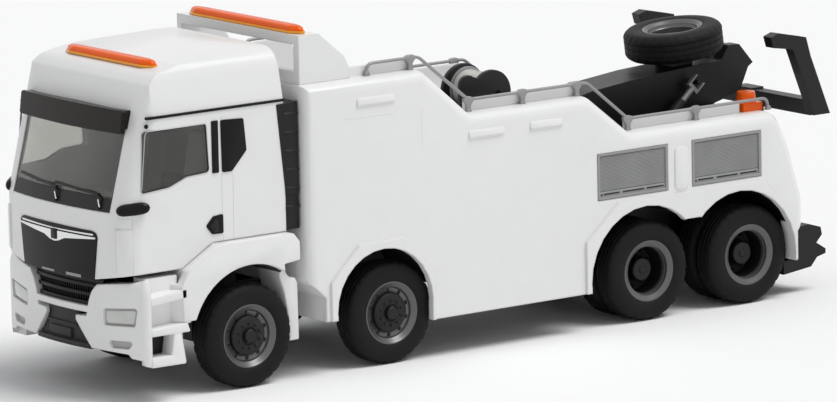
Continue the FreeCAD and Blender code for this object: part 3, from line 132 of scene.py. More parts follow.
class Form:
    """A mesh drawn in the truck's millimetres."""

    def __init__(self):
        self.points = []
        self.faces = []

    def add(self, points, faces):
        start = len(self.points)
        self.points.extend(Vector(p) for p in points)
        self.faces.extend([start + i for i in face] for face in faces)
        return self

    def join(self, other):
        return self.add(other.points, other.faces)

    def skin(self, rows, loop=False):
        """Rows of corners joined side to side; the end rows are closed, or joined in a loop."""
        count = len(rows[0])
        last = len(rows) - 1
        faces = []
        for r in range(len(rows) if loop else last):
            s = (r + 1) % len(rows)
            for i in range(count):
                j = (i + 1) % count
                faces.append([r * count + i, r * count + j, s * count + j, s * count + i])
        if not loop:
            faces.append(list(range(count)))
            faces.append([last * count + i for i in range(count)])
        return self.add([p for row in rows for p in row], faces)

    def lathe(self, profile, x, z, segments, loop=False, dent=None):
        """Turned about the lateral line at x, z. A point is (radius, y)."""
        rows = []
        for j, (radius, y) in enumerate(profile):
            row = []
            for i in range(segments):
                a = 2.0 * pi * i / segments
                r = radius - (dent(i, j) if dent else 0.0)
                row.append((x + r * sin(a), y, z - r * cos(a)))
            rows.append(row)
        return self.skin(rows, loop)

    def plate(self, outline, y0, y1):
        return self.skin([[(x, y, z) for x, z in outline] for y in (y0, y1)])

    def front(self, outline, x0, x1):
        return self.skin([[(x, y, z) for y, z in outline] for x in (x0, x1)])

    def level(self, outline, z0, z1):
        return self.skin([[(x, y, z) for x, y in outline] for z in (z0, z1)])

    def block(self, x0, x1, y0, y1, z0, z1):
        return self.level(rectangle(x0, x1, y0, y1), z0, z1)

    def tube(self, path, radius, sides=10):
        """A round bar along a path of points."""
        path = [Vector(p) for p in path]
        rows = []
        for k, point in enumerate(path):
            along = heading(path, k)
            aside = along.cross(Vector((0.0, 0.0, 1.0)))
            if aside.length < 1e-4:
                aside = along.cross(Vector((0.0, 1.0, 0.0)))
            aside.normalize()
            over = aside.cross(along)
            rows.append([point + (aside * cos(a) + over * sin(a)) * radius
                         for a in (2.0 * pi * i / sides for i in range(sides))])
        return self.skin(rows)

    def built(self):
        """The shape as a clean bmesh, still in millimetres."""
        bm = bmesh.new()
        corners = [bm.verts.new(p) for p in self.points]
        for face in self.faces:
            around = [corners[i] for i in face]
            if bm.faces.get(around) is None:
                bm.faces.new(around)
        bmesh.ops.remove_doubles(bm, verts=bm.verts, dist=1e-4)
        bmesh.ops.dissolve_degenerate(bm, dist=1e-5, edges=bm.edges)
        bmesh.ops.recalc_face_normals(bm, faces=bm.faces)
        return bm

    def stand_in(self):
        """A passing object of this shape, for carving."""
        mesh = bpy.data.meshes.new("carving")
        bm = self.built()
        bm.to_mesh(mesh)
        bm.free()
        return placed("carving", mesh)

    def carved(self, minus=(), within=()):
        """This shape held within some shapes and less some others."""
        base = self.stand_in()
        tools = []
        for operation, shapes in (("INTERSECT", within), ("DIFFERENCE", minus)):
            for shape in shapes:
                tool = shape.stand_in()
                tools.append(tool)
                cut = base.modifiers.new("cut", "BOOLEAN")
                cut.operation = operation
                cut.solver = "EXACT"
                cut.object = tool
        graph = bpy.context.evaluated_depsgraph_get()
        mesh = bpy.data.meshes.new_from_object(base.evaluated_get(graph))
        result = Form().add([v.co for v in mesh.vertices],
                            [list(p.vertices) for p in mesh.polygons])
        bpy.data.meshes.remove(mesh)
        for thing in [base] + tools:
            spare = thing.data
            bpy.data.objects.remove(thing)
            bpy.data.meshes.remove(spare)
        return result

    def mirrored(self):
        """Adds the same shape on the other side of the truck."""
        points = [(p.x, -p.y, p.z) for p in self.points]
        faces = [list(reversed(face)) for face in self.faces]
        return self.add(points, faces)

    def turned(self, matrix):
        self.points = [matrix @ p for p in self.points]
        return self

    def piece(self, name, finish, body="truck", slot=None, bevel=0.0, smooth=40.0, hides=""):
        """The shown piece of this shape, in the place of the node it hides, if any."""
        mesh = bpy.data.meshes.new(name)
        bm = self.built()
        for vert in bm.verts:
            vert.co = ((vert.co.x + SHIFT_X) * MM, vert.co.y * MM, vert.co.z * MM)
        if bevel > 0.0:
            sharp = [e for e in bm.edges
                     if len(e.link_faces) == 2 and e.calc_face_angle(0.0) > radians(30.0)]
            bmesh.ops.bevel(bm, geom=sharp, offset=bevel * MM, segments=2, profile=0.5,
                            affect="EDGES", clamp_overlap=True)
        bm.to_mesh(mesh)
        bm.free()
        for polygon in mesh.polygons:
            polygon.use_smooth = True
        mesh.set_sharp_from_angle(angle=radians(smooth))
        mesh.materials.append(finish)
        thing = placed(name, mesh)
        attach(thing, body)
        if hides:
            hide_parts(hides)


def mix(a, b, t):
    return a + (b - a) * t


def rectangle(u0, u1, v0, v1):
    return [(u0, v0), (u1, v0), (u1, v1), (u0, v1)]


def rounded(outline, radius=0.0, steps=5):
    """An outline with its corners rounded; a point may carry its own radius."""
    count = len(outline)
    corners = []
    for i, point in enumerate(outline):
        here = Vector(point[:2])
        r = point[2] if len(point) > 2 else radius
        if r == 0.0:
            corners.append((here.x, here.y))
            continue
        to_before = (Vector(outline[i - 1][:2]) - here).normalized()
        to_after = (Vector(outline[(i + 1) % count][:2]) - here).normalized()
        half = to_before.angle(to_after) / 2.0
        centre = here + (to_before + to_after).normalized() * (r / sin(half))
        spoke = here + to_before * (r / tan(half)) - centre
        turn = pi - 2.0 * half
        if to_after.x * to_before.y - to_after.y * to_before.x < 0.0:
            turn = -turn
        for k in range(steps + 1):
            a = turn * k / steps
            corners.append((centre.x + spoke.x * cos(a) - spoke.y * sin(a),
                            centre.y + spoke.x * sin(a) + spoke.y * cos(a)))
    return corners


def even(line):
    """A line of (y, z) given from the middle outwards, completed on the other side."""
    return [(-y, z) for y, z in reversed(line)] + [p for p in line if p[0] > 0.0]


def even_outline(line):
    """A closed outline in (y, z) from its right side, given from the bottom up."""
    return list(line) + [(-y, z) for y, z in reversed(line)]


def arc(x, z, radius, start, end, steps=28):
    """Points (x, z) on a circle, degrees from straight ahead, upwards."""
    angles = [radians(mix(start, end, k / steps)) for k in range(steps + 1)]
    return [(x + radius * cos(a), z + radius * sin(a)) for a in angles]


def open_bend(path, steps=6):
    """An open path in two coordinates with its marked corners rounded."""
    points = [path[0][:2]]
    for before, here, after in zip(path[:-2], path[1:-1], path[2:]):
        corner = Vector(here[:2])
        reach = here[2]
        a = corner + (Vector(before[:2]) - corner).normalized() * reach
        c = corner + (Vector(after[:2]) - corner).normalized() * reach
        for k in range(steps + 1):
            t = k / steps
            p = a.lerp(corner, t).lerp(corner.lerp(c, t), t)
            points.append((p.x, p.y))
    return points + [path[-1][:2]]


# Finishes


def plastic(name, colour, roughness, metallic=0.0, spread=0.03, grain=6000.0, depth=0.02,
            rounding=0.0, coat=0.0, transmission=0.0, mirror=0.5):
    """A moulded plastic with slight variation, fine grain and softened edges."""
    finish = bpy.data.materials.new(name)
    finish.use_nodes = True
    nodes = finish.node_tree.nodes
    links = finish.node_tree.links
    shader = nodes["Principled BSDF"]
    for socket, value in (("Metallic", metallic), ("Specular IOR Level", mirror),
                          ("Coat Weight", coat), ("Coat Roughness", 0.08),
                          ("Transmission Weight", transmission)):
        shader.inputs[socket].default_value = value
    place = nodes.new("ShaderNodeTexCoord")

    def noise(scale):
        node = nodes.new("ShaderNodeTexNoise")
        node.inputs["Scale"].default_value = scale
        links.new(place.outputs["Object"], node.inputs["Vector"])
        return node

    cloud = noise(350.0)
    cloud.inputs["Detail"].default_value = 3.0
    shade = nodes.new("ShaderNodeValToRGB")
    darker, lighter = shade.color_ramp.elements
    darker.position = 0.3
    lighter.position = 0.7
    darker.color = [c * (1.0 - spread) for c in colour] + [1.0]
    lighter.color = [min(c * (1.0 + spread), 1.0) for c in colour] + [1.0]
    links.new(cloud.outputs["Fac"], shade.inputs["Fac"])
    links.new(shade.outputs["Color"], shader.inputs["Base Color"])
    gloss = nodes.new("ShaderNodeMapRange")
    gloss.inputs["To Min"].default_value = max(roughness - 0.05, 0.02)
    gloss.inputs["To Max"].default_value = min(roughness + 0.05, 1.0)
    links.new(cloud.outputs["Fac"], gloss.inputs["Value"])
    links.new(gloss.outputs["Result"], shader.inputs["Roughness"])
    speckle = noise(grain)
    bump = nodes.new("ShaderNodeBump")
    bump.inputs["Strength"].default_value = depth
    bump.inputs["Distance"].default_value = 0.0001
    links.new(speckle.outputs["Fac"], bump.inputs["Height"])
    if rounding > 0.0:
        soft = nodes.new("ShaderNodeBevel")
        soft.samples = 6
        soft.inputs["Radius"].default_value = rounding * MM
        links.new(soft.outputs["Normal"], bump.inputs["Normal"])
    links.new(bump.outputs["Normal"], shader.inputs["Normal"])
    return finish


def grey(value):
    return (value, value, value)


WHITE = plastic("white_gloss", (0.83, 0.83, 0.825), 0.32, spread=0.01,
                rounding=0.3, coat=0.08)
SEAM = plastic("white_seam", grey(0.6), 0.5, spread=0.02)
BLACK = plastic("black_satin", grey(0.006), 0.42, spread=0.2, rounding=0.15,
                mirror=0.3)
GLOSSY = plastic("black_gloss", grey(0.003), 0.2, spread=0.2, rounding=0.1,
                 mirror=0.18)
VISOR = plastic("visor_smoke", (0.011, 0.008, 0.006), 0.22, spread=0.1,
                rounding=0.15, mirror=0.2)
TYRE = plastic("tyre_rubber", grey(0.006), 0.6, spread=0.25, grain=9000.0, depth=0.25,
               mirror=0.18)
# Grey satin metal for rails, frames and slots, also used for the painted highlights on the mirror
# feet.
SATIN = plastic("rail_grey_and_glint", grey(0.3), 0.38, metallic=0.35, rounding=0.12)
SILVER = plastic("rim_silver", grey(0.12), 0.33, metallic=0.6, spread=0.05)
# Bright metal for the grille's trim, also used for the painted highlights at the wiper pivots.
BRIGHT = plastic("bright_trim_and_glints", grey(0.8), 0.2, metallic=0.7)
SLAT = plastic("slat_grey", (0.27, 0.275, 0.27), 0.42, metallic=0.3,
               spread=0.06)
# Grey for the cab's interior, also used as painted shade on the floors of the lamp wells.
CABIN = plastic("cabin_grey_and_well_shade", (0.42, 0.42, 0.4), 0.55, rounding=0.2)
ORANGE = plastic("orange_lens", (1.0, 0.13, 0.004), 0.2, rounding=0.2,
                 mirror=0.2)
AMBER = plastic("amber_rim", (1.0, 0.4, 0.03), 0.2, spread=0.05, mirror=0.3)
RED = plastic("red_lens", (0.35, 0.01, 0.01), 0.2, spread=0.05, coat=0.2)
LAMP = plastic("lamp_lens", (0.62, 0.63, 0.6), 0.12, spread=0.05, rounding=0.1,
               coat=0.5)
ROPE = plastic("rope_grey", (0.42, 0.42, 0.4), 0.5, metallic=0.2, spread=0.15,
               grain=4000.0, depth=0.3)
GLASS = plastic("smoked_glazing", (0.6, 0.6, 0.57), 0.03, spread=0.01,
                depth=0.0, transmission=1.0)

# Finishes of the nodes that show as they are; the others are black.
NODE_FINISH = {"body_bridge": WHITE, "cab_interior": CABIN, "rear_beacons": ORANGE,
               "tail_lamps": RED, "ram_rods": SATIN}


def dress_frame():
    for name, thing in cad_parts.items():
        finish = NODE_FINISH.get(name, BLACK)
        if not thing.material_slots:
            thing.data.materials.append(finish)
        for slot in thing.material_slots:
            slot.material = finish


# Wheels

def tyre_profile(outer, width):
    """Closed section of one tyre as (radius, y), with shoulders and three tread grooves."""
    inner = outer - width
    side = [(RIM_R - 0.02, 0.2), (4.0, 0.06), (4.5, 0.0), (5.1, 0.0), (5.6, 0.08), (5.9, 0.3),
            (6.05, 0.5), (TYRE_R, 0.7)]
    points = [(r, outer - y) for r, y in side]
    floor_r = TYRE_R - GROOVE_DEPTH
    for share in (0.3, 0.5, 0.7):
        y = outer - width * share
        points += [(TYRE_R, y + 0.12), (floor_r, y + 0.06), (floor_r, y - 0.06), (TYRE_R, y - 0.12)]
    return points + [(r, inner + y) for r, y in reversed(side)]


def tread_dent(i, j):
    """Notches in the shoulders and cuts across the tread, by segment i and section point j."""
    shoulders = (5, 6, 7, 20, 21, 22)
    tread = range(8, 20)
    if j in shoulders and i % 4 == 0:
        return NOTCH_DEPTH
    if j in tread and i % 4 == 2:
        return CUT_DEPTH
    return 0.0


def wheel_pair(form, name, number, finish, smooth=40.0, hides=""):
    """A piece at both ends of a numbered wheelset."""
    form.mirrored().piece("%s_%d" % (name, number), finish, "wheelset_%d" % number,
                          smooth=smooth, hides=hides and "%s_%d" % (hides, number))


def tyres(number, x):
    if number in TWINS:
        single = (TWIN_W - TWIN_GAP) / 2.0
        sections = [(TYRE_FACE_Y, single), (TYRE_FACE_Y - single - TWIN_GAP, single)]
    else:
        sections = [(TYRE_FACE_Y, TYRE_W)]
    form = Form()
    for outer, width in sections:
        form.lathe(tyre_profile(outer, width), x, WHEEL_Z, TYRE_SEGMENTS, True, tread_dent)
    wheel_pair(form, "tyre_pair", number, TYRE, 50.0, "tyres")


def wheel_ring(profile, x, loop=False):
    return Form().lathe(profile, x, WHEEL_Z, RIM_SEGMENTS, loop)


def bolt_circle(radius, x):
    for k in range(WHEEL_BOLTS):
        a = 2.0 * pi * (k + 0.5) / WHEEL_BOLTS
        yield x + radius * cos(a), WHEEL_Z + radius * sin(a)


def hub(number, x, cap, bolt, circle_r):
    """The hub's cap with six-sided bolts in a circle."""
    form = wheel_ring(cap, x)
    for bolt_x, bolt_z in bolt_circle(circle_r, x):
        form.lathe(bolt, bolt_x, bolt_z, 6)
    wheel_pair(form, "hub_pair", number, BLACK, 30.0, "hubs")


def front_rim(number, x):
    """A flat rim with hand holes round its raised hub; the holes are flat black discs, painted
    shade for their dark insides.
    """
    face = RIM_FACE_Y
    disc = face - 0.75
    back = 10.3
    rim = [(0.0, disc), (2.9, disc), (3.0, disc + 0.08), (3.06, disc + 0.35), (3.12, disc + 0.42),
           (3.5, face - 0.12), (3.62, face), (3.76, face), (RIM_R, face - 0.1), (RIM_R, back),
           (3.3, back), (3.2, disc - 0.6), (0.0, disc - 0.6)]
    wheel_pair(wheel_ring(rim, x), "rim_pair", number, SILVER, hides="rims")
    # Each hand hole is a flat black disc just proud of the rim's face: painted shade where the
    # hole's inside would be dark.
    holes = Form()
    lips = Form()
    for hx, hz in bolt_circle(2.68, x):
        holes.lathe([(0.22, disc - 0.05), (0.22, disc + 0.015), (0.0, disc + 0.015)], hx, hz, 14)
        lips.lathe([(0.23, disc), (0.25, disc + 0.04), (0.29, disc)], hx, hz, 14, True)
    wheel_pair(holes, "hand_hole_shade", number, BLACK)
    wheel_pair(lips, "hole_lips", number, SILVER)
    top = disc + 0.62
    cap = [(2.38, disc - 0.02), (2.38, disc + 0.3), (2.3, disc + 0.45), (2.05, top - 0.05),
           (1.9, top), (1.05, top), (1.0, top - 0.12), (0.85, top - 0.12), (0.8, top + 0.3),
           (0.7, top + 0.4), (0.0, top + 0.4)]
    bolt = [(0.2, top - 0.05), (0.2, top + 0.12), (0.15, top + 0.2), (0.0, top + 0.2)]
    hub(number, x, cap, bolt, 1.52)


def rear_rim(number, x):
    """A deep rim with a dark dish and the hub at the bottom of it."""
    face = RIM_FACE_Y
    disc = face - 3.3
    back = TYRE_FACE_Y - TWIN_W + 0.1
    rim = [(2.86, disc + 0.1), (2.86, face - 0.75), (2.93, face - 0.62), (2.98, face - 0.62),
           (3.02, face - 0.5), (3.06, face - 0.3), (3.5, face - 0.08), (3.62, face), (3.76, face),
           (RIM_R, face - 0.1), (RIM_R, back), (3.3, back), (3.2, disc)]
    wheel_pair(wheel_ring(rim, x, True), "rim_pair", number, SILVER, hides="rims")
    dish = [(2.85, face - 0.8), (2.85, disc + 0.2), (2.7, disc), (0.0, disc), (0.0, disc - 0.3),
            (3.1, disc - 0.3), (3.1, disc + 0.1)]
    wheel_pair(wheel_ring(dish, x, True), "rim_dish", number, BLACK)
    top = disc + 2.0
    cap = [(1.85, disc), (1.85, disc + 0.3), (1.5, disc + 0.45), (1.42, top - 0.15), (1.3, top),
           (0.5, top), (0.45, top + 0.12), (0.0, top + 0.12)]
    bolt = [(0.2, disc), (0.2, disc + 0.3), (0.14, disc + 0.38), (0.0, disc + 0.38)]
    hub(number, x, cap, bolt, 2.25)


def wheels():
    for number, x in AXLES.items():
        tyres(number, x)
        if number in TWINS:
            rear_rim(number, x)
        else:
            front_rim(number, x)


def spare_wheel():
    """The wheel that lies on the boom, rear edge up."""
    lay = (Matrix.Translation(SPARE_CENTRE) @ Matrix.Rotation(SPARE_LEAN, 4, "Y")
           @ Matrix.Rotation(pi / 2.0, 4, "X"))
    half = TYRE_W / 2.0
    tyre = Form().lathe(tyre_profile(half, TYRE_W), 0.0, 0.0, TYRE_SEGMENTS, True, tread_dent)
    tyre.turned(lay).piece("spare_tyre_tread", TYRE, "boom", smooth=50.0, hides="spare_tyre")
    face = half - 0.1
    rim = [(0.0, face - 1.75), (1.2, face - 1.75), (1.3, face - 1.6), (2.7, face - 1.6),
           (2.85, face - 1.45), (2.9, face - 0.8), (3.02, face - 0.7), (3.1, face - 0.35),
           (3.5, face - 0.1), (3.62, face), (3.76, face), (RIM_R, face - 0.1),
           (RIM_R, 0.5 - half), (0.0, 0.5 - half)]
    form = Form().lathe(rim, 0.0, 0.0, RIM_SEGMENTS)
    form.turned(lay).piece("spare_rim_dish", SILVER, "boom", hides="spare_rim")


# Cab

def bow_flat(bow, half_w):
    """Half the width of the flat strip in the middle of a bowed front."""
    radius, angle, corner = bow[1:]
    return half_w - corner * (1.0 - sin(angle)) - radius * sin(angle)


def corner_x(bow):
    """The x of the middle of a bowed front's rounded corners."""
    nose, radius, angle, corner = bow
    return nose - radius * (1.0 - cos(angle)) - corner * cos(angle)


def bow_row(z, inset, bow, half_w, back):
    """Plan corners of a bowed front with rounded corners, drawn in by the inset."""
    nose, radius, angle, corner = bow
    flat = bow_flat(bow, half_w)
    half = []
    for k in range(BOW_STEPS + 1):
        a = angle * k / BOW_STEPS
        half.append((nose - radius + (radius - inset) * cos(a), flat + (radius - inset) * sin(a)))
    for k in range(1, CORNER_STEPS + 1):
        a = mix(angle, pi / 2.0, k / CORNER_STEPS)
        half.append((corner_x(bow) + (corner - inset) * cos(a),
                     half_w - corner + (corner - inset) * sin(a)))
    half.append((back, half_w - inset))
    return [(x, y, z) for x, y in half] + [(x, -y, z) for x, y in reversed(half)]


def cab_bow(z):
    """The cab's bow at height z, the same all the way below the belt."""
    t = max(0.0, (z - BELT_Z) / (BROW_Z - BELT_Z))
    return tuple(mix(low, high, t) for low, high in zip(BELT_BOW, BROW_BOW))


def nose_x(y, z, proud=0.0):
    """The x of the cab's front skin at y, z."""
    bow = cab_bow(z)
    nose, radius, angle, corner = bow
    side = max(0.0, abs(y) - bow_flat(bow, CAB_HALF_W))
    if side <= radius * sin(angle):
        return nose - radius + sqrt(radius * radius - side * side) + proud
    round_side = min(abs(y) - CAB_HALF_W + corner, corner)
    return corner_x(bow) + sqrt(corner * corner - round_side * round_side) + proud


def corner_point(angle, z, proud):
    """A point on the cab's rounded front corner; angle runs from the nose round to the side."""
    bow = cab_bow(z)
    corner = bow[3]
    r = corner + proud
    return (corner_x(bow) + r * cos(angle), CAB_HALF_W - corner + r * sin(angle), z)


def cab_solid(inset, bottom):
    """The cab's outer form, or the room inside it when inset by the wall."""
    back = CAB_BACK_X + inset
    body = Form().skin([bow_row(z, inset, cab_bow(z), CAB_HALF_W, back)
                        for z in (bottom, BELT_Z, BROW_Z)])
    side = [(20.5, bottom - 1.0), (20.5, 34.2), (14.45 - inset, 34.2),
            (13.8 - inset, 35.9 - inset * 0.5, 3.0), (11.2 - inset, 38.1 - inset, 3.5),
            (7.2, 38.9 - inset, 5.0), (back - 1.0, ROOF_BACK_Z + 0.06 - inset),
            (back - 1.0, bottom - 1.0)]
    w = CAB_HALF_W - inset
    roof_w = ROOF_HALF_W - inset
    top = ROOF_BACK_Z - inset
    low = CAB_BOTTOM_Z if inset == 0.0 else bottom
    front = [(w, low), (w, DRIP_Z, 3.0), (roof_w, top, 2.8), (-roof_w, top, 2.8),
             (-w, DRIP_Z, 3.0), (-w, low), (-12.6, low - 0.05), (-7.5, low - 0.92),
             (7.5, low - 0.92), (12.6, low - 0.05)]
    return body.carved(within=[Form().plate(rounded(side), -PAST_CAB_Y, PAST_CAB_Y),
                               Form().front(rounded(front), CAB_BACK_X - 1.0, 21.0)])


def side_window(m=0.0):
    """The outline of the door glass, wider all round by m."""
    return rounded([(13.6 + m * 0.8, 31.85 + m, 0.5), (5.05 - m, 31.85 + m, 0.3),
                    (4.75 - m, 26.1 - m, 0.5), (8.0, 25.9 - m, 2.0), (10.5, 24.95 - m, 2.0),
                    (14.35 + m, 24.65 - m, 0.3)])


def cab():
    """White cab with its screen and door glass."""
    back = CAB_BACK_X - 1.0
    screen = Form().block(9.0, 21.0, -SCREEN_HALF_W, SCREEN_HALF_W, BELT_Z, SCREEN_TOP_Z)
    doors = Form().plate(side_window(), -PAST_CAB_Y, PAST_CAB_Y)
    gap = rounded([(9.2, 13.0), (8.9, CAB_BOTTOM_Z), (4.6, GUARD_LINE_Z, 2.5),
                   (back, GUARD_LINE_Z), (back, 13.0)])
    shell = cab_solid(0.0, 13.8).carved(minus=[cab_solid(CAB_WALL, 13.0), screen, doors,
                                               Form().plate(gap, -PAST_CAB_Y, PAST_CAB_Y)])
    shell.piece("cab_skin", WHITE, hides="cab_shell")
    skin = cab_solid(0.12, 14.0).carved(minus=[cab_solid(0.47, 13.0)])
    glass = skin.carved(within=[screen]).join(skin.carved(within=[doors]))
    glass.piece("cab_glass", GLASS, hides="cab_glazing")


def band(low, high, surface, back, front, steps=16):
    """A curved strip over a surface; low and high are lines of (y, z) left to right."""
    def along(line, t):
        total = line[-1][0] - line[0][0]
        y = line[0][0] + total * t
        for (y0, z0), (y1, z1) in zip(line[:-1], line[1:]):
            if y <= y1 + 1e-9:
                return y, mix(z0, z1, (y - y0) / (y1 - y0))
        return line[-1]

    rows = []
    for k in range(steps + 1):
        y0, z0 = along(low, k / steps)
        y1, z1 = along(high, k / steps)
        x0 = surface(y0, z0)
        x1 = surface(y1, z1)
        rows.append([(x0 + back, y0, z0), (x1 + back, y1, z1),
                     (x1 + front, y1, z1), (x0 + front, y0, z0)])
    return Form().skin(rows)


def strip(y0, y1, z0, z1, surface, back, front, steps):
    """A band with upright ends and level edges."""
    return band([(y0, z0), (y1, z0)], [(y0, z1), (y1, z1)], surface, back, front, steps)


def grille_face():
    """Black grille, its winged bright trim, bare shield and lower slots."""
    panel = band([(-7.25, 14.2), (7.25, 14.2)],
                 even([(0.0, 20.02), (7.1, 19.98), (7.7, 19.8), (7.97, 19.3)]), nose_x,
                 -0.05, 0.12, 64)
    panel.piece("grille_panel", GLOSSY, hides="grille")
    wing = band(even([(0.0, 17.95), (0.9, 18.1), (2.1, 18.55), (7.75, 19.1)]),
                even([(0.0, 19.24), (7.75, 19.3)]), nose_x, 0.1, 0.24, 48)
    wing.join(band(even([(0.0, 19.4), (7.35, 19.47)]), even([(0.0, 19.54), (7.35, 19.68)]),
                   nose_x, 0.1, 0.2, 40))
    wing.piece("grille_wings", BRIGHT, bevel=0.03, hides="grille_trim")
    nose = BELT_BOW[0]
    shield = Form().front(rounded(rectangle(-0.62, 0.62, 18.2, 19.45), 0.2), nose + 0.1, nose + 0.3)
    shield.piece("grille_shield", GLOSSY, bevel=0.03)
    slots = Form()
    for y0, y1, top, front in ((-2.9, -0.3, 14.5, 0.2), (2.2, 5.0, 14.6, 0.22)):
        slots.join(strip(y0, y1, 14.25, top, nose_x, 0.08, front, 6))
    slots.piece("grille_slots", SATIN, bevel=0.02)


def sun_visor():
    """Smoked visor across the top of the screen, standing off the cab."""
    nose = 15.95
    bow_r = 105.0
    rake = 0.12
    top = 34.2

    def face(y, z):
        return nose - y * y / (2.0 * bow_r) - rake * (z - 31.4)

    def roof(y, z):
        return face(y, z) - 2.0

    front = band(even([(0.0, 31.42), (10.1, 31.5), (10.5, 31.7)]),
                 even([(0.0, top), (10.1, top), (10.45, 34.0)]), face, -0.4, 0.0, 60)
    front.join(band(even([(0.0, 34.0), (10.3, 33.9)]), even([(0.0, top), (10.3, 34.1)]),
                    roof, 0.0, 1.8, 30))
    front.join(Form().block(12.9, 15.0, 10.1, 10.35, 32.0, 33.9).mirrored())
    front.piece("visor_band", VISOR, hides="sun_visor")


def wipers():
    """Black band along the foot of the screen with two wipers on it."""
    strip(-10.0, 10.0, 22.45, 24.1, nose_x, -0.16, -0.04, 24).piece("screen_band", BLACK)
    bars = Form()
    for pivot, end, tip in ((0.2, 0.0, -8.8), (8.3, 7.8, -0.6)):
        blade = [(mix(end, tip, k / 8.0), 24.3 + 0.5 * k / 8.0, 0.12) for k in range(9)]
        arm = [(pivot, 22.7, 0.1), (pivot, 23.9, 0.2), (mix(pivot, tip, 0.2), 24.55, 0.2),
               (mix(pivot, tip, 0.5), 24.5, 0.2)]
        for path, radius in ((blade, 0.17), (arm, 0.14)):
            bars.tube([(nose_x(y, z, proud), y, z) for y, z, proud in path], radius)
    bars.piece("wiper_bars", BLACK)
    # Small bright bars at the two wiper pivots are painted highlights, not parts of the wipers.
    glints = Form()
    for y in (0.45, 8.5):
        glints.tube([(nose_x(y, 22.95, 0.24), y, 22.95),
                     (nose_x(y, 23.75, 0.3), y - 0.55, 23.75)], 0.09, 8)
    glints.piece("wiper_painted_glints", BRIGHT)


def corner_panels():
    """The raised air deflectors on the cab's lower front corners."""
    steps = 16
    rows = []
    for k in range(steps + 1):
        a = mix(radians(13.0), radians(DEFLECTOR_END_DEG), k / steps)
        out = 0.2 * sin(pi * (0.12 + 0.76 * k / steps)) ** 0.5
        rows.append([corner_point(a, z, proud) for z, proud in (
            (15.35, -0.05), (20.75, -0.05), (20.6, out * 0.6), (20.2, out), (15.5, out),
            (15.38, out * 0.6))])
    Form().skin(rows).mirrored().piece("corner_panels", WHITE)


def cab_seams():
    """Door gaps and panel lines on the cab's sides and corners."""
    lines = Form()
    for path in ([(3.02, 17.9), (3.02, 25.8)], [(3.02, 32.1), (2.6, 32.5)],
                 [(1.5, 17.7), (1.4, 25.6)], [(14.0, 15.32), (8.9, 15.32)]):
        lines.tube([(x, CAB_HALF_W - 0.015, z) for x, z in path], 0.035, 6)
    upright = [(DEFLECTOR_END_DEG, z) for z in (20.8, 21.2, 21.85)]
    level = [(a, 21.85) for a in (20.0, 30.0, 40.0, 50.0, DEFLECTOR_END_DEG)]
    for path in (upright, level):
        lines.tube([corner_point(radians(a), z, -0.02) for a, z in path], 0.04, 6)
    lines.mirrored().piece("cab_seams", SEAM)


def side_trim():
    """Pillar strips, quarter panels, drip strips and door handles."""
    y0 = CAB_HALF_W - 0.05
    y1 = CAB_HALF_W + TRIM_OUT
    drip_end = 13.4
    quarter = [(3.05, 32.05), (-0.2, 31.9), (-0.55, 28.1), (1.6, 25.85), (2.95, 25.85)]
    handle = [(5.45, 19.8), (4.4, 20.85), (3.0, 21.0), (3.0, 18.7), (4.6, 18.75)]
    trim = Form().plate(rounded(rectangle(3.42, 4.34, 25.9, 32.05), 0.1), y0, y1)
    for outline in (quarter, handle):
        trim.plate(rounded(outline, 0.25), y0, y1)
    trim.plate(rectangle(CAB_BACK_X, drip_end, DRIP_Z, DRIP_Z + 0.32), y0 - 0.3, y1)
    trim.lathe([(0.0, y0 - 0.1), (0.26, y0 - 0.1), (0.26, y1 - 0.06), (0.0, y1 - 0.06)],
               drip_end, 32.45, 14)
    trim.mirrored().piece("side_trim", GLOSSY, bevel=0.05, hides="cab_trim")


def air_stack():
    """Ribbed black intake stack behind the cab, lapped round its rear edge."""
    back = BODY_FRONT_X + 0.25
    stack = Form().block(back, CAB_BACK_X - 0.02, 7.4, CAB_HALF_W, GUARD_LINE_Z + 0.1, 33.0)
    lap = [(-4.95, 32.9), (back, 33.1), (back, 22.0), (CAB_BACK_X - 0.05, 22.0)]
    stack.plate(rounded(lap, 0.1), CAB_HALF_W - 0.1, CAB_HALF_W + 0.12)
    for k in range(6):
        z = 20.4 + 2.2 * k
        stack.block(back - 0.02, CAB_BACK_X - 0.01, 7.2, CAB_HALF_W + 0.2, z, z + 0.35)
    stack.piece("stack_ribs", BLACK, bevel=0.08, hides="air_stack")


def window_frames():
    """Pale lips and dark seals round the side windows, and the grips in the door handles."""
    for name, finish, margin, out, radius in (
            ("window_lips", WHITE, 0.0, 0.01, 0.06), ("window_seals", BLACK, -0.08, -0.04, 0.09)):
        outline = side_window(margin)
        path = [(x, CAB_HALF_W + out, z) for x, z in outline + outline[:1]]
        Form().tube(path, radius, 6).mirrored().piece(name, finish)
    grip = [(4.35, 18.95), (5.0, 19.7), (4.2, 20.45), (3.75, 20.4), (3.75, 18.95)]
    grips = Form().plate(rounded(grip, 0.2), CAB_HALF_W + 0.1, CAB_HALF_W + 0.22)
    grips.mirrored().piece("handle_grips", BLACK, bevel=0.04)


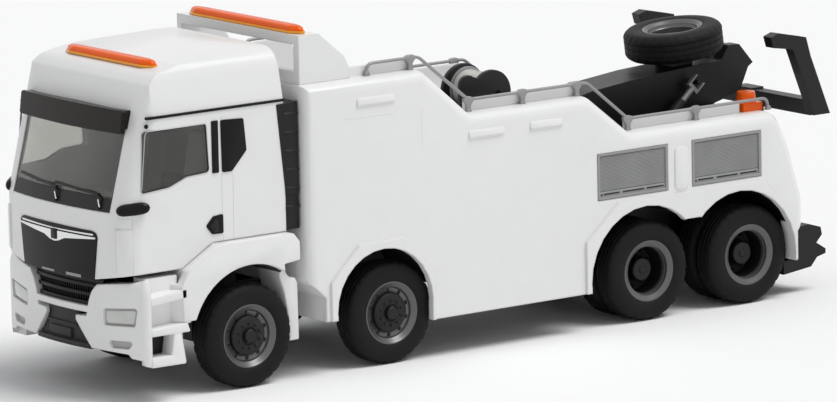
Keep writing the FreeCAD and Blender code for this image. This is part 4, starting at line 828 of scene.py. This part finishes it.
def mirror_feet():
    """Oval feet where the mirrors would stand, each with a painted highlight at its outer end."""
    rings = 16
    sides = 20
    rows = []
    for k in range(rings + 1):
        t = -cos(pi * k / rings)
        girth = sqrt(max(1.0 - t ** 4, 0.0009))
        rows.append([(2.0 * t, 0.62 * girth * cos(a), 0.74 * girth * sin(a))
                     for a in (2.0 * pi * i / sides for i in range(sides))])
    place = (Matrix.Translation((15.3, 12.5, 22.95)) @ Matrix.Rotation(radians(-40.0), 4, "Z")
             @ Matrix.Rotation(radians(7.0), 4, "Y"))
    Form().skin(rows).turned(place).mirrored().piece("mirror_feet", GLOSSY)
    # The short grey bar at each foot's outer end is a painted highlight.
    glint = Form().tube([(14.35, 13.2, 23.0), (14.15, 13.3, 23.4)], 0.13, 8)
    glint.mirrored().piece("mirror_painted_glint", SATIN)


# Bumper, steps and mudguards

def bumper_x(y, z=0.0):
    """The x of the bumper's front skin at y, the same at any height."""
    nose, radius, angle = BUMPER_BOW[:3]
    side = min(abs(y), radius * sin(angle))
    return nose - radius + sqrt(radius ** 2 - side ** 2)


def bumper_solid(rows, over=0.0):
    """The bumper's bowed form from rows of (height, inset), longer at the back if over."""
    return Form().skin([bow_row(z, inset, BUMPER_BOW, BUMPER_HALF_W, BUMPER_BACK_X - over)
                        for z, inset in rows])


def bumper_shell(outer, inner):
    """A slice of the bumper's skin between two insets."""
    hollow = bumper_solid([(2.0, inner), (18.0, inner)], 1.0)
    return bumper_solid([(3.0, outer), (16.0, outer)]).carved(minus=[hollow])


def across(outline):
    """A bar along the truck with the given outline in (y, z)."""
    return Form().front(outline, 10.0, 20.0)


def lamp_outline(m):
    """A headlamp, wider all round by m."""
    return rounded([(8.15 - m, 9.1 - m), (12.55 + m, 9.38 - m), (12.95 + m, 11.25 + m),
                    (8.1 - m, 10.75 + m)], 0.3)


def fog_outline(m):
    """A fog lamp, wider all round by m."""
    return rounded([(9.3 - m, 6.5 - m), (11.6 + m, 6.6 - m), (12.4 + m, 7.3 + m),
                    (8.75 - m, 7.1 + m)], 0.25)


def lamp_slices(shell, lamp_margin, fog_margin):
    """What lies within the lamps' outlines of a slice of the bumper's skin, on both sides."""
    slices = shell.carved(within=[across(lamp_outline(lamp_margin))])
    return slices.join(shell.carved(within=[across(fog_outline(fog_margin))])).mirrored()


def bumper():
    """White bumper with a lip across it, lamp wells and a notch on each side."""
    edge = [(5.79, 5.97), (11.64, 5.86), (12.14, 5.4), (13.64, 5.28), (13.68, 4.71),
            (14.31, 4.43), (15.5, 4.43), (15.5, 15.1), (13.65, 14.7), (11.93, 14.2),
            (6.95, 13.6), (6.1, 12.74), (5.6, 11.78), (5.3, 10.85)]
    inner = [(5.15, 10.1), (5.0, 9.65), (3.1, 9.55), (3.05, 9.0)]
    outline = even_outline(edge) + [(-y, z) for y, z in reversed(inner)] + inner
    profile = [(4.0, 0.3), (4.7, 0.12), (5.6, 0.0), (13.3, 0.0), (13.9, 0.12), (14.5, 0.42),
               (15.6, 0.95)]
    inside = Form().skin([bow_row(z, 0.0, BUMPER_INSIDE_BOW, BUMPER_HALF_W - BUMPER_WALL,
                                  BUMPER_BACK_X - 3.0) for z in (3.0, 13.1)])
    wells = [across(lamp_outline(WELL_MARGIN)), across(fog_outline(FOG_WELL_MARGIN))]
    other_side = Matrix.Scale(-1.0, 4, (0.0, 1.0, 0.0))
    wells += [Form().join(well).turned(other_side) for well in wells]
    face = bumper_shell(-0.5, 0.32)
    cuts = [face.carved(within=[well]) for well in wells]
    skin = bumper_solid(profile).carved(within=[across(outline)], minus=[inside] + cuts)
    skin.piece("bumper_skin", WHITE, hides="front_bumper")
    lenses = lamp_slices(bumper_shell(0.14, 0.5), -0.12, -0.08)
    lenses.piece("front_lenses", LAMP, bevel=0.05, hides="headlamps")
    # The wells' floors are mid grey: painted shade that darkens the ring round each lamp.
    floors = lamp_slices(bumper_shell(0.3, 0.55), WELL_MARGIN, FOG_WELL_MARGIN)
    floors.piece("lamp_well_shade", CABIN)


def intake():
    """Louvres between the bumper's halves and the black valance under the lip."""
    opening = even_outline([(5.3, 10.3), (5.9, 11.8), (6.6, 13.0), (7.6, 14.9)])
    back = bumper_shell(0.9, 1.25).carved(within=[across(opening)])
    back.piece("intake_back", BLACK, hides="bumper_centre")
    bars = Form()
    for z, half, deep in ((10.9, 5.2, 0.4), (11.95, 5.6, 0.45), (13.0, 6.2, 0.5),
                          (13.95, 6.9, 0.45)):
        bars.join(strip(-half, half, z, z + 0.42, bumper_x, -0.95, -deep, 30))
    pitch = 0.45
    for z0, z1, half in ((11.2, 12.1, 5.0), (12.25, 13.1, 5.6)):
        count = int(half / pitch)
        for k in range(-count, count + 1):
            y = pitch * k
            x = bumper_x(y)
            bars.block(x - 0.95, x - 0.66, y - 0.07, y + 0.07, z0, z1)
    bars.piece("intake_bars", GLOSSY, bevel=0.04)
    plate = bumper_shell(0.45, 1.1).carved(
        within=[across(even_outline([(5.5, 5.85), (2.95, 9.0), (3.4, 10.3)]))])
    plate.join(band([(-5.55, 5.75), (5.55, 5.75)], [(-5.2, 6.35), (5.2, 6.35)], bumper_x,
                    -0.9, -0.05, 30))
    plate.join(band([(-3.3, 8.15), (3.3, 8.15)], [(-3.1, 8.4), (3.1, 8.4)], bumper_x,
                    -0.6, -0.12, 16))
    plate.join(strip(-2.6, 1.8, 6.6, 7.7, bumper_x, -0.6, -0.22, 16))
    plate.piece("valance", BLACK, bevel=0.05)


def mudguards():
    """White guards over the first axle with their steps, flaps and dark backs."""
    out = GUARD_OUT_Y
    top = GUARD_LINE_Z - 0.1
    outer = rounded([(8.6, 9.2, 0.2), (9.75, 9.3), (10.0, 13.3, 0.4), (8.9, 15.1, 0.5),
                     (4.6, top, 2.5), (-6.1, top, 0.4), (-6.93, 16.65), (-6.96, 14.46),
                     (-4.7, 14.2)])
    guard = Form().plate(outer + arc(0.0, WHEEL_Z, 8.6, 124.0, 21.0), 13.0, out)
    guard.plate([(9.0, 15.1), (4.5, top), (-6.1, top), (-6.8, 16.5), (-6.8, 15.5), (-5.9, 15.4)]
                + arc(0.0, WHEEL_Z, 9.2, 122.0, 24.0, 14), 9.2, 13.1)
    guard.mirrored().piece("guard_skin", WHITE, bevel=0.12, hides="mudguards")
    nose = STEP_NOSE_X
    back = 9.3
    steps = Form().block(9.6, 14.1, 10.4, 12.75, 8.0, 14.6)
    for tread in ([(nose, 11.62), (nose, 12.62), (back, 13.1), (back, 12.05)],
                  [(nose, 8.04), (nose, 8.87), (back, 9.15), (8.9, 8.03)]):
        steps.plate(rounded(tread, 0.15), 11.0, out)
    steps.level([(10.6, 12.7), (9.7, out - 0.2), (8.7, out - 0.2), (8.7, 12.7)], 9.0, 13.6)
    steps.plate(rounded([(10.2, 8.1), (9.6, 4.6), (9.7, 4.35), (nose, 4.4), (nose, 5.55),
                         (11.6, 5.55), (11.2, 8.1)], 0.1), 12.1, out)
    steps.mirrored().piece("step_frame", WHITE, bevel=0.08)
    dark = Form().block(back, 14.0, 10.9, 12.2, 5.0, 8.1)
    dark.mirrored().piece("step_backs", BLACK, bevel=0.1)
    flap = [(-7.5, 4.7), (-6.13, 4.65), (-5.95, 8.0), (-5.5, 10.6), (-4.9, 12.4), (-4.9, 13.7),
            (-5.67, 13.1), (-6.25, 12.27), (-7.16, 12.06), (-7.44, 11.44)]
    Form().plate(flap, 8.6, CAB_HALF_W).mirrored().piece("mud_flaps", WHITE, bevel=0.12)


def arch_liners_and_shade():
    """Black linings over the wheels, seen through the arches, partly dark chassis parts and partly
    painted shade in the arches, and black covers on the deck's webs as painted shade.
    """
    liners = Form()
    for x, z, r, start, end, y1 in (
            (0.0, WHEEL_Z, 8.45, 20.0, 126.0, 12.95), (-19.8, 6.8, 7.5, 15.0, 165.0, 13.7),
            (-58.4, 5.9, 8.75, 15.0, 128.0, 13.7), (-73.0, 5.8, 8.85, 52.0, 165.0, 13.7)):
        liners.plate(arc(x, z, r, start, end) + arc(x, z, r + 0.25, end, start), 4.7, y1)
    # Black plate over the deck's webs inboard of the rear arches: painted shade on them.
    liners.block(-80.0, -51.0, 4.25, 4.45, 9.0, 14.3)
    liners.mirrored().piece("arch_liners_and_shade", BLACK)


# Body

def cad_form(name):
    """A node's own mesh, in the truck's millimetres."""
    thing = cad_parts[name]
    points = [thing.matrix_world @ v.co for v in thing.data.vertices]
    return Form().add([(p.x / MM - SHIFT_X, p.y / MM, p.z / MM) for p in points],
                      [list(p.vertices) for p in thing.data.polygons])


def body_setback():
    """The body's front wall, set back below the ends of the cab's guards."""
    inner_y = 5.2
    ahead = -7.0
    cut = Form().plate([(ahead, 12.6), (SETBACK_X, SETBACK_Z), (SETBACK_X, 5.0), (ahead, 5.0)],
                       inner_y, 15.0).mirrored()
    for name in ("body_sides", "body_deck"):
        cad_form(name).carved(minus=[cut]).piece(name + "_skin", WHITE, hides=name)
    face = SETBACK_X - 0.04
    back = face - 0.56
    wall = [(BODY_FRONT_X - 0.04, 11.5), (face, SETBACK_Z), (face, 6.5), (back, 6.5),
            (back, SETBACK_Z + 0.3), (BODY_FRONT_X - 0.6, 11.8)]
    Form().plate(wall, inner_y, 13.82).mirrored().piece("front_setback", WHITE)


def body_details():
    """Grab recesses, seams and the raised strip between the shutters."""
    y = BODY_HALF_W
    grabs = Form()
    for x0, x1, z0, z1 in ((-21.0, -15.5, 31.6, 32.6), (-37.1, -31.8, 25.8, 26.8),
                           (-45.9, -41.0, 25.8, 26.8)):
        grabs.skin([[(x0, y + out, z), (x1, y + out, z), (x1, y - 0.15, z), (x0, y - 0.15, z)]
                    for z, out in ((z0, -0.05), (z0 + 0.1, 0.2), (mix(z0, z1, 0.55), 0.14),
                                   (z1, 0.0), (z1 + 0.05, -0.1))])
    grabs.mirrored().piece("body_grabs", WHITE, bevel=0.04)
    divider = Form().plate(rounded(rectangle(-65.1, -63.0, 15.75, 21.1), 0.7), y - 0.1, y + 0.12)
    divider.mirrored().piece("shutter_strip", WHITE, bevel=0.06)
    seams = Form()
    for (x0, z0), (x1, z1) in (((-24.95, 25.3), (-24.95, 30.2)), ((-20.9, 30.15), (-13.6, 30.25))):
        seams.tube([(x0, y - 0.02, z0), (x1, y - 0.02, z1)], 0.03, 6)
    seams.mirrored().piece("body_seams", SEAM)


def slat_profile(z0, z1):
    """Section (y, z) of one shutter's curtain of slats over its plain foot."""
    y = BODY_HALF_W
    count = 26
    low = z0 + 1.05
    pitch = (z1 - 0.35 - low) / count
    profile = [(y - 0.2, low)]
    for k in range(count):
        profile += [(y - deep, low + pitch * (k + share))
                    for deep, share in ((0.12, 0.1), (0.05, 0.35), (0.05, 0.65), (0.12, 0.9))]
    return profile + [(y - 0.2, z1 - 0.3), (y - 0.28, z1 - 0.3), (y - 0.28, z0 + 0.3),
                      (y - 0.08, z0 + 0.3), (y - 0.08, z0 + 0.98)]


def shutters():
    """Roller shutters with their frames, slats and grab slots."""
    frames = Form()
    slats = Form()
    slots = Form()
    y = BODY_HALF_W
    z0 = 15.95
    z1 = 21.6
    for x0, x1 in ((-61.95, -51.15), (-76.55, -65.75)):
        outer = rounded(rectangle(x0, x1, z0, z1), 0.2)
        inner = rounded(rectangle(x0 + 0.35, x1 - 0.35, z0 + 0.35, z1 - 0.3), 0.15)
        frames.skin([[(x, y + out, z) for x, z in outline] for outline, out in (
            (outer, -0.2), (outer, 0.05), (inner, 0.05), (inner, -0.2))], True)
        slats.skin([[(x, py, pz) for py, pz in slat_profile(z0, z1)]
                    for x in (x0 + 0.3, x1 - 0.3)])
        span = x1 - x0
        for a, b in ((0.09, 0.31), (0.36, 0.66), (0.7, 0.94)):
            slots.block(x1 - span * b, x1 - span * a, y - 0.1, y - 0.04, z0 + 0.58, z0 + 0.75)
        knob = [(0.12, y - 0.1), (0.12, y - 0.03), (0.0, y - 0.03)]
        slots.lathe(knob, x1 - 0.62, z0 + 0.62, 12)
    frames.mirrored().piece("shutter_frames", SATIN, bevel=0.03, hides="roller_shutters")
    slats.mirrored().piece("shutter_slats", SLAT, smooth=60.0)
    slots.mirrored().piece("shutter_slots", BLACK)


def winch():
    """Rope drum between a two-lobed near cheek and a round far flange."""
    x = -44.4
    z = 28.5
    half = 2.5
    out = half + 0.6
    near = ([(-39.21, DECK_Z)] + arc(-40.45, 29.93, 1.24, 0.0, 130.0, 14)
            + arc(-44.0, 28.57, 2.87, 46.0, 180.0, 24) + [(-46.87, DECK_Z)])
    far = arc(-43.95, 28.4, 3.2, 5.0, 175.0) + [(-46.9, DECK_Z), (-41.9, DECK_Z)]
    cheeks = Form().plate(near, half, out)
    cheeks.plate(far, -out, -half)
    cheeks.block(-46.6, -40.2, 0.1 - half, half - 0.1, DECK_Z, DECK_Z + 0.5)
    cheeks.piece("winch_cheeks", BLACK, bevel=0.06, hides="winch_frame")
    cap = Form().lathe([(0.0, half), (0.42, half), (0.42, out + 0.06), (0.0, out + 0.06)],
                       -44.9, z, 20)
    cap.piece("winch_cap", GLOSSY)
    edge = half - 0.12
    ring = Form().lathe([(0.0, -half), (2.67, -half), (2.67, -edge), (0.0, -edge)], x, z + 0.05, 64)
    ring.piece("rope_ring", SATIN, bevel=0.03)
    turns = 14
    pitch = 2.0 * edge / turns
    profile = [(0.0, -edge)]
    for k in range(turns):
        profile += [(r, -edge + pitch * (k + share))
                    for r, share in ((2.22, 0.0), (2.33, 0.25), (2.36, 0.5), (2.33, 0.75))]
    profile += [(2.22, edge), (0.0, edge)]
    rope = Form().lathe(profile, x, z, 64)
    rope.piece("rope_turns", ROPE, smooth=60.0, hides="winch_drum")


def light_bar(name, x, z, half, hides=""):
    """A low beacon bar with tapering ends, orange over an amber rim."""
    def plan(inset):
        h = half - inset * 1.6
        w = BAR_W / 2.0 - inset
        waist = w * 0.35
        return rounded([(x + w, 1.5 - h), (x + w, h - 1.5), (x + waist, h), (x - waist, h),
                        (x - w, h - 1.5), (x - w, 1.5 - h), (x - waist, -h), (x + waist, -h)], 0.25)

    def layers(rows):
        return Form().skin([[(px, py, z + up) for px, py in plan(inset)] for up, inset in rows])

    rim = layers([(0.0, 0.18), (0.05, 0.02), (0.32, 0.0), (0.34, 0.2)])
    rim.piece(name + "_rim", AMBER)
    lens = layers([(0.32, 0.16), (0.36, 0.12), (0.7, 0.2), (0.9, 0.42), (0.94, 0.6)])
    lens.piece(name + "_lens", ORANGE, hides=hides)


def light_bars():
    light_bar("cab_bar", 9.25, 38.35, 9.0, hides="light_bars")
    light_bar("body_bar", -10.15, 40.5, 11.35)
    feet = Form().block(8.5, 10.0, 5.4, 6.4, 37.6, 38.5)
    feet.mirrored().piece("cab_bar_feet", WHITE, bevel=0.1)


def side_rails():
    """Thin grey rails on posts with flared heads along the body's upper edges."""
    t = RAIL_LIFT
    tall, mid, low = 34.7, 28.7, 23.6
    front = -18.55
    rear = -79.45
    bend = open_bend([(front, tall - 0.05), (-18.6, tall + t, 0.9), (-26.1, tall + t, 0.6),
                      (-33.4, mid + t, 0.3), (-51.3, mid + t, 0.6), (-57.5, low + t, 0.3),
                      (-79.3, low + t, 0.8), (rear, low + 0.1)])
    section = [(-0.19, -0.1), (-0.1, -0.2), (0.1, -0.2), (0.19, -0.1), (0.19, 0.1), (0.1, 0.2),
               (-0.1, 0.2), (-0.19, 0.1)]
    rows = []
    for k, (x, z) in enumerate(bend):
        along = heading(bend, k)
        rows.append([(x - along.y * u, RAIL_Y + v, z + along.x * u) for u, v in section])
    rails = Form().skin(rows)
    head = even_outline([(0.3, -0.02), (0.3, t - 0.75), (0.42, t - 0.5), (0.75, t - 0.15),
                         (0.72, t + 0.2), (0.3, t + 0.36)])
    foot = even_outline([(0.42, -0.02), (0.3, 0.3)])
    end_foot = even_outline([(0.4, -0.02), (0.25, 0.5)])
    posts = ((-24.9, tall), (-33.4, mid), (-41.5, mid), (-49.75, mid), (-57.5, low), (-68.1, low))
    ends = ((front, tall), (rear, low))
    for places, outline, half in ((posts, head, 0.22), (posts, foot, 0.25), (ends, end_foot, 0.25)):
        for x, z in places:
            rails.plate([(x + u, z + v) for u, v in outline], RAIL_Y - half, RAIL_Y + half)
    rails.mirrored().piece("rail_bars", SATIN, slot="grey_plastic", bevel=0.04,
                           hides="side_rails")


# Stage, camera and light

def stage():
    """A pale floor under the truck."""
    reach = 3.0
    shade = 0.98
    mesh = bpy.data.meshes.new("floor")
    mesh.from_pydata([(x, y, 0.0) for x, y in rectangle(-reach, reach, -reach, reach)], [],
                     [(0, 1, 2, 3)])
    floor = placed("floor", mesh)
    finish = bpy.data.materials.new("floor_white")
    finish.use_nodes = True
    shader = finish.node_tree.nodes["Principled BSDF"]
    shader.inputs["Base Color"].default_value = (shade, shade, shade, 1.0)
    shader.inputs["Roughness"].default_value = 0.9
    mesh.materials.append(finish)


def world_light():
    """Soft light from all round, and plain white where the world itself is seen."""
    world = bpy.data.worlds.new("studio")
    bpy.context.scene.world = world
    world.use_nodes = True
    nodes = world.node_tree.nodes
    links = world.node_tree.links
    light = nodes["Background"]
    light.inputs["Color"].default_value = (0.97, 0.98, 1.0, 1.0)
    light.inputs["Strength"].default_value = 0.42
    seen = nodes.new("ShaderNodeBackground")
    seen.inputs["Color"].default_value = (1.0, 1.0, 1.0, 1.0)
    path = nodes.new("ShaderNodeLightPath")
    looks = path.outputs["Is Camera Ray"]
    for ray in ("Is Glossy Ray", "Is Transmission Ray"):
        either = nodes.new("ShaderNodeMath")
        either.operation = "MAXIMUM"
        links.new(looks, either.inputs[0])
        links.new(path.outputs[ray], either.inputs[1])
        looks = either.outputs[0]
    blend = nodes.new("ShaderNodeMixShader")
    links.new(looks, blend.inputs["Fac"])
    links.new(light.outputs[0], blend.inputs[1])
    links.new(seen.outputs[0], blend.inputs[2])
    links.new(blend.outputs[0], nodes["World Output"].inputs["Surface"])


def key_light():
    """One soft sun from the left and a little behind, high up."""
    lamp = bpy.data.lights.new("key", "SUN")
    lamp.energy = KEY_STRENGTH
    lamp.angle = KEY_SOFTNESS
    turn = Vector(KEY_TOWARDS).to_track_quat("-Z", "Y").to_euler()
    placed("key", lamp).rotation_euler = turn


def camera():
    """The photograph's view, from a pinhole fit to the wheels, cab and body."""
    back = Vector((sin(VIEW_TURN) * cos(VIEW_RISE), cos(VIEW_TURN) * cos(VIEW_RISE),
                   sin(VIEW_RISE)))
    right = Vector((-cos(VIEW_TURN), sin(VIEW_TURN), 0.0))
    up = back.cross(right)
    place = (Vector(VIEW_TARGET) + right * VIEW_SLIDE[0] + up * VIEW_SLIDE[1]
             + back * VIEW_DISTANCE)
    rolled_right = right * cos(VIEW_ROLL) - up * sin(VIEW_ROLL)
    rolled_up = right * sin(VIEW_ROLL) + up * cos(VIEW_ROLL)
    lens = bpy.data.cameras.new("camera")
    lens.sensor_width = SENSOR_W
    lens.lens = FOCAL_LENGTH
    lens.clip_end = 20.0
    thing = placed("camera", lens)
    spot = ((place.x + SHIFT_X) * MM, place.y * MM, place.z * MM)
    turned = Matrix((rolled_right, rolled_up, back)).transposed().to_4x4()
    thing.matrix_world = Matrix.Translation(spot) @ turned
    bpy.context.scene.camera = thing


camera()
stage()
world_light()
key_light()
bpy.context.scene.view_settings.view_transform = "Standard"

dress_frame()
wheels()
spare_wheel()
cab()
grille_face()
sun_visor()
wipers()
corner_panels()
cab_seams()
side_trim()
air_stack()
window_frames()
mirror_feet()
bumper()
intake()
mudguards()
arch_liners_and_shade()
body_setback()
body_details()
shutters()
winch()
light_bars()
side_rails()
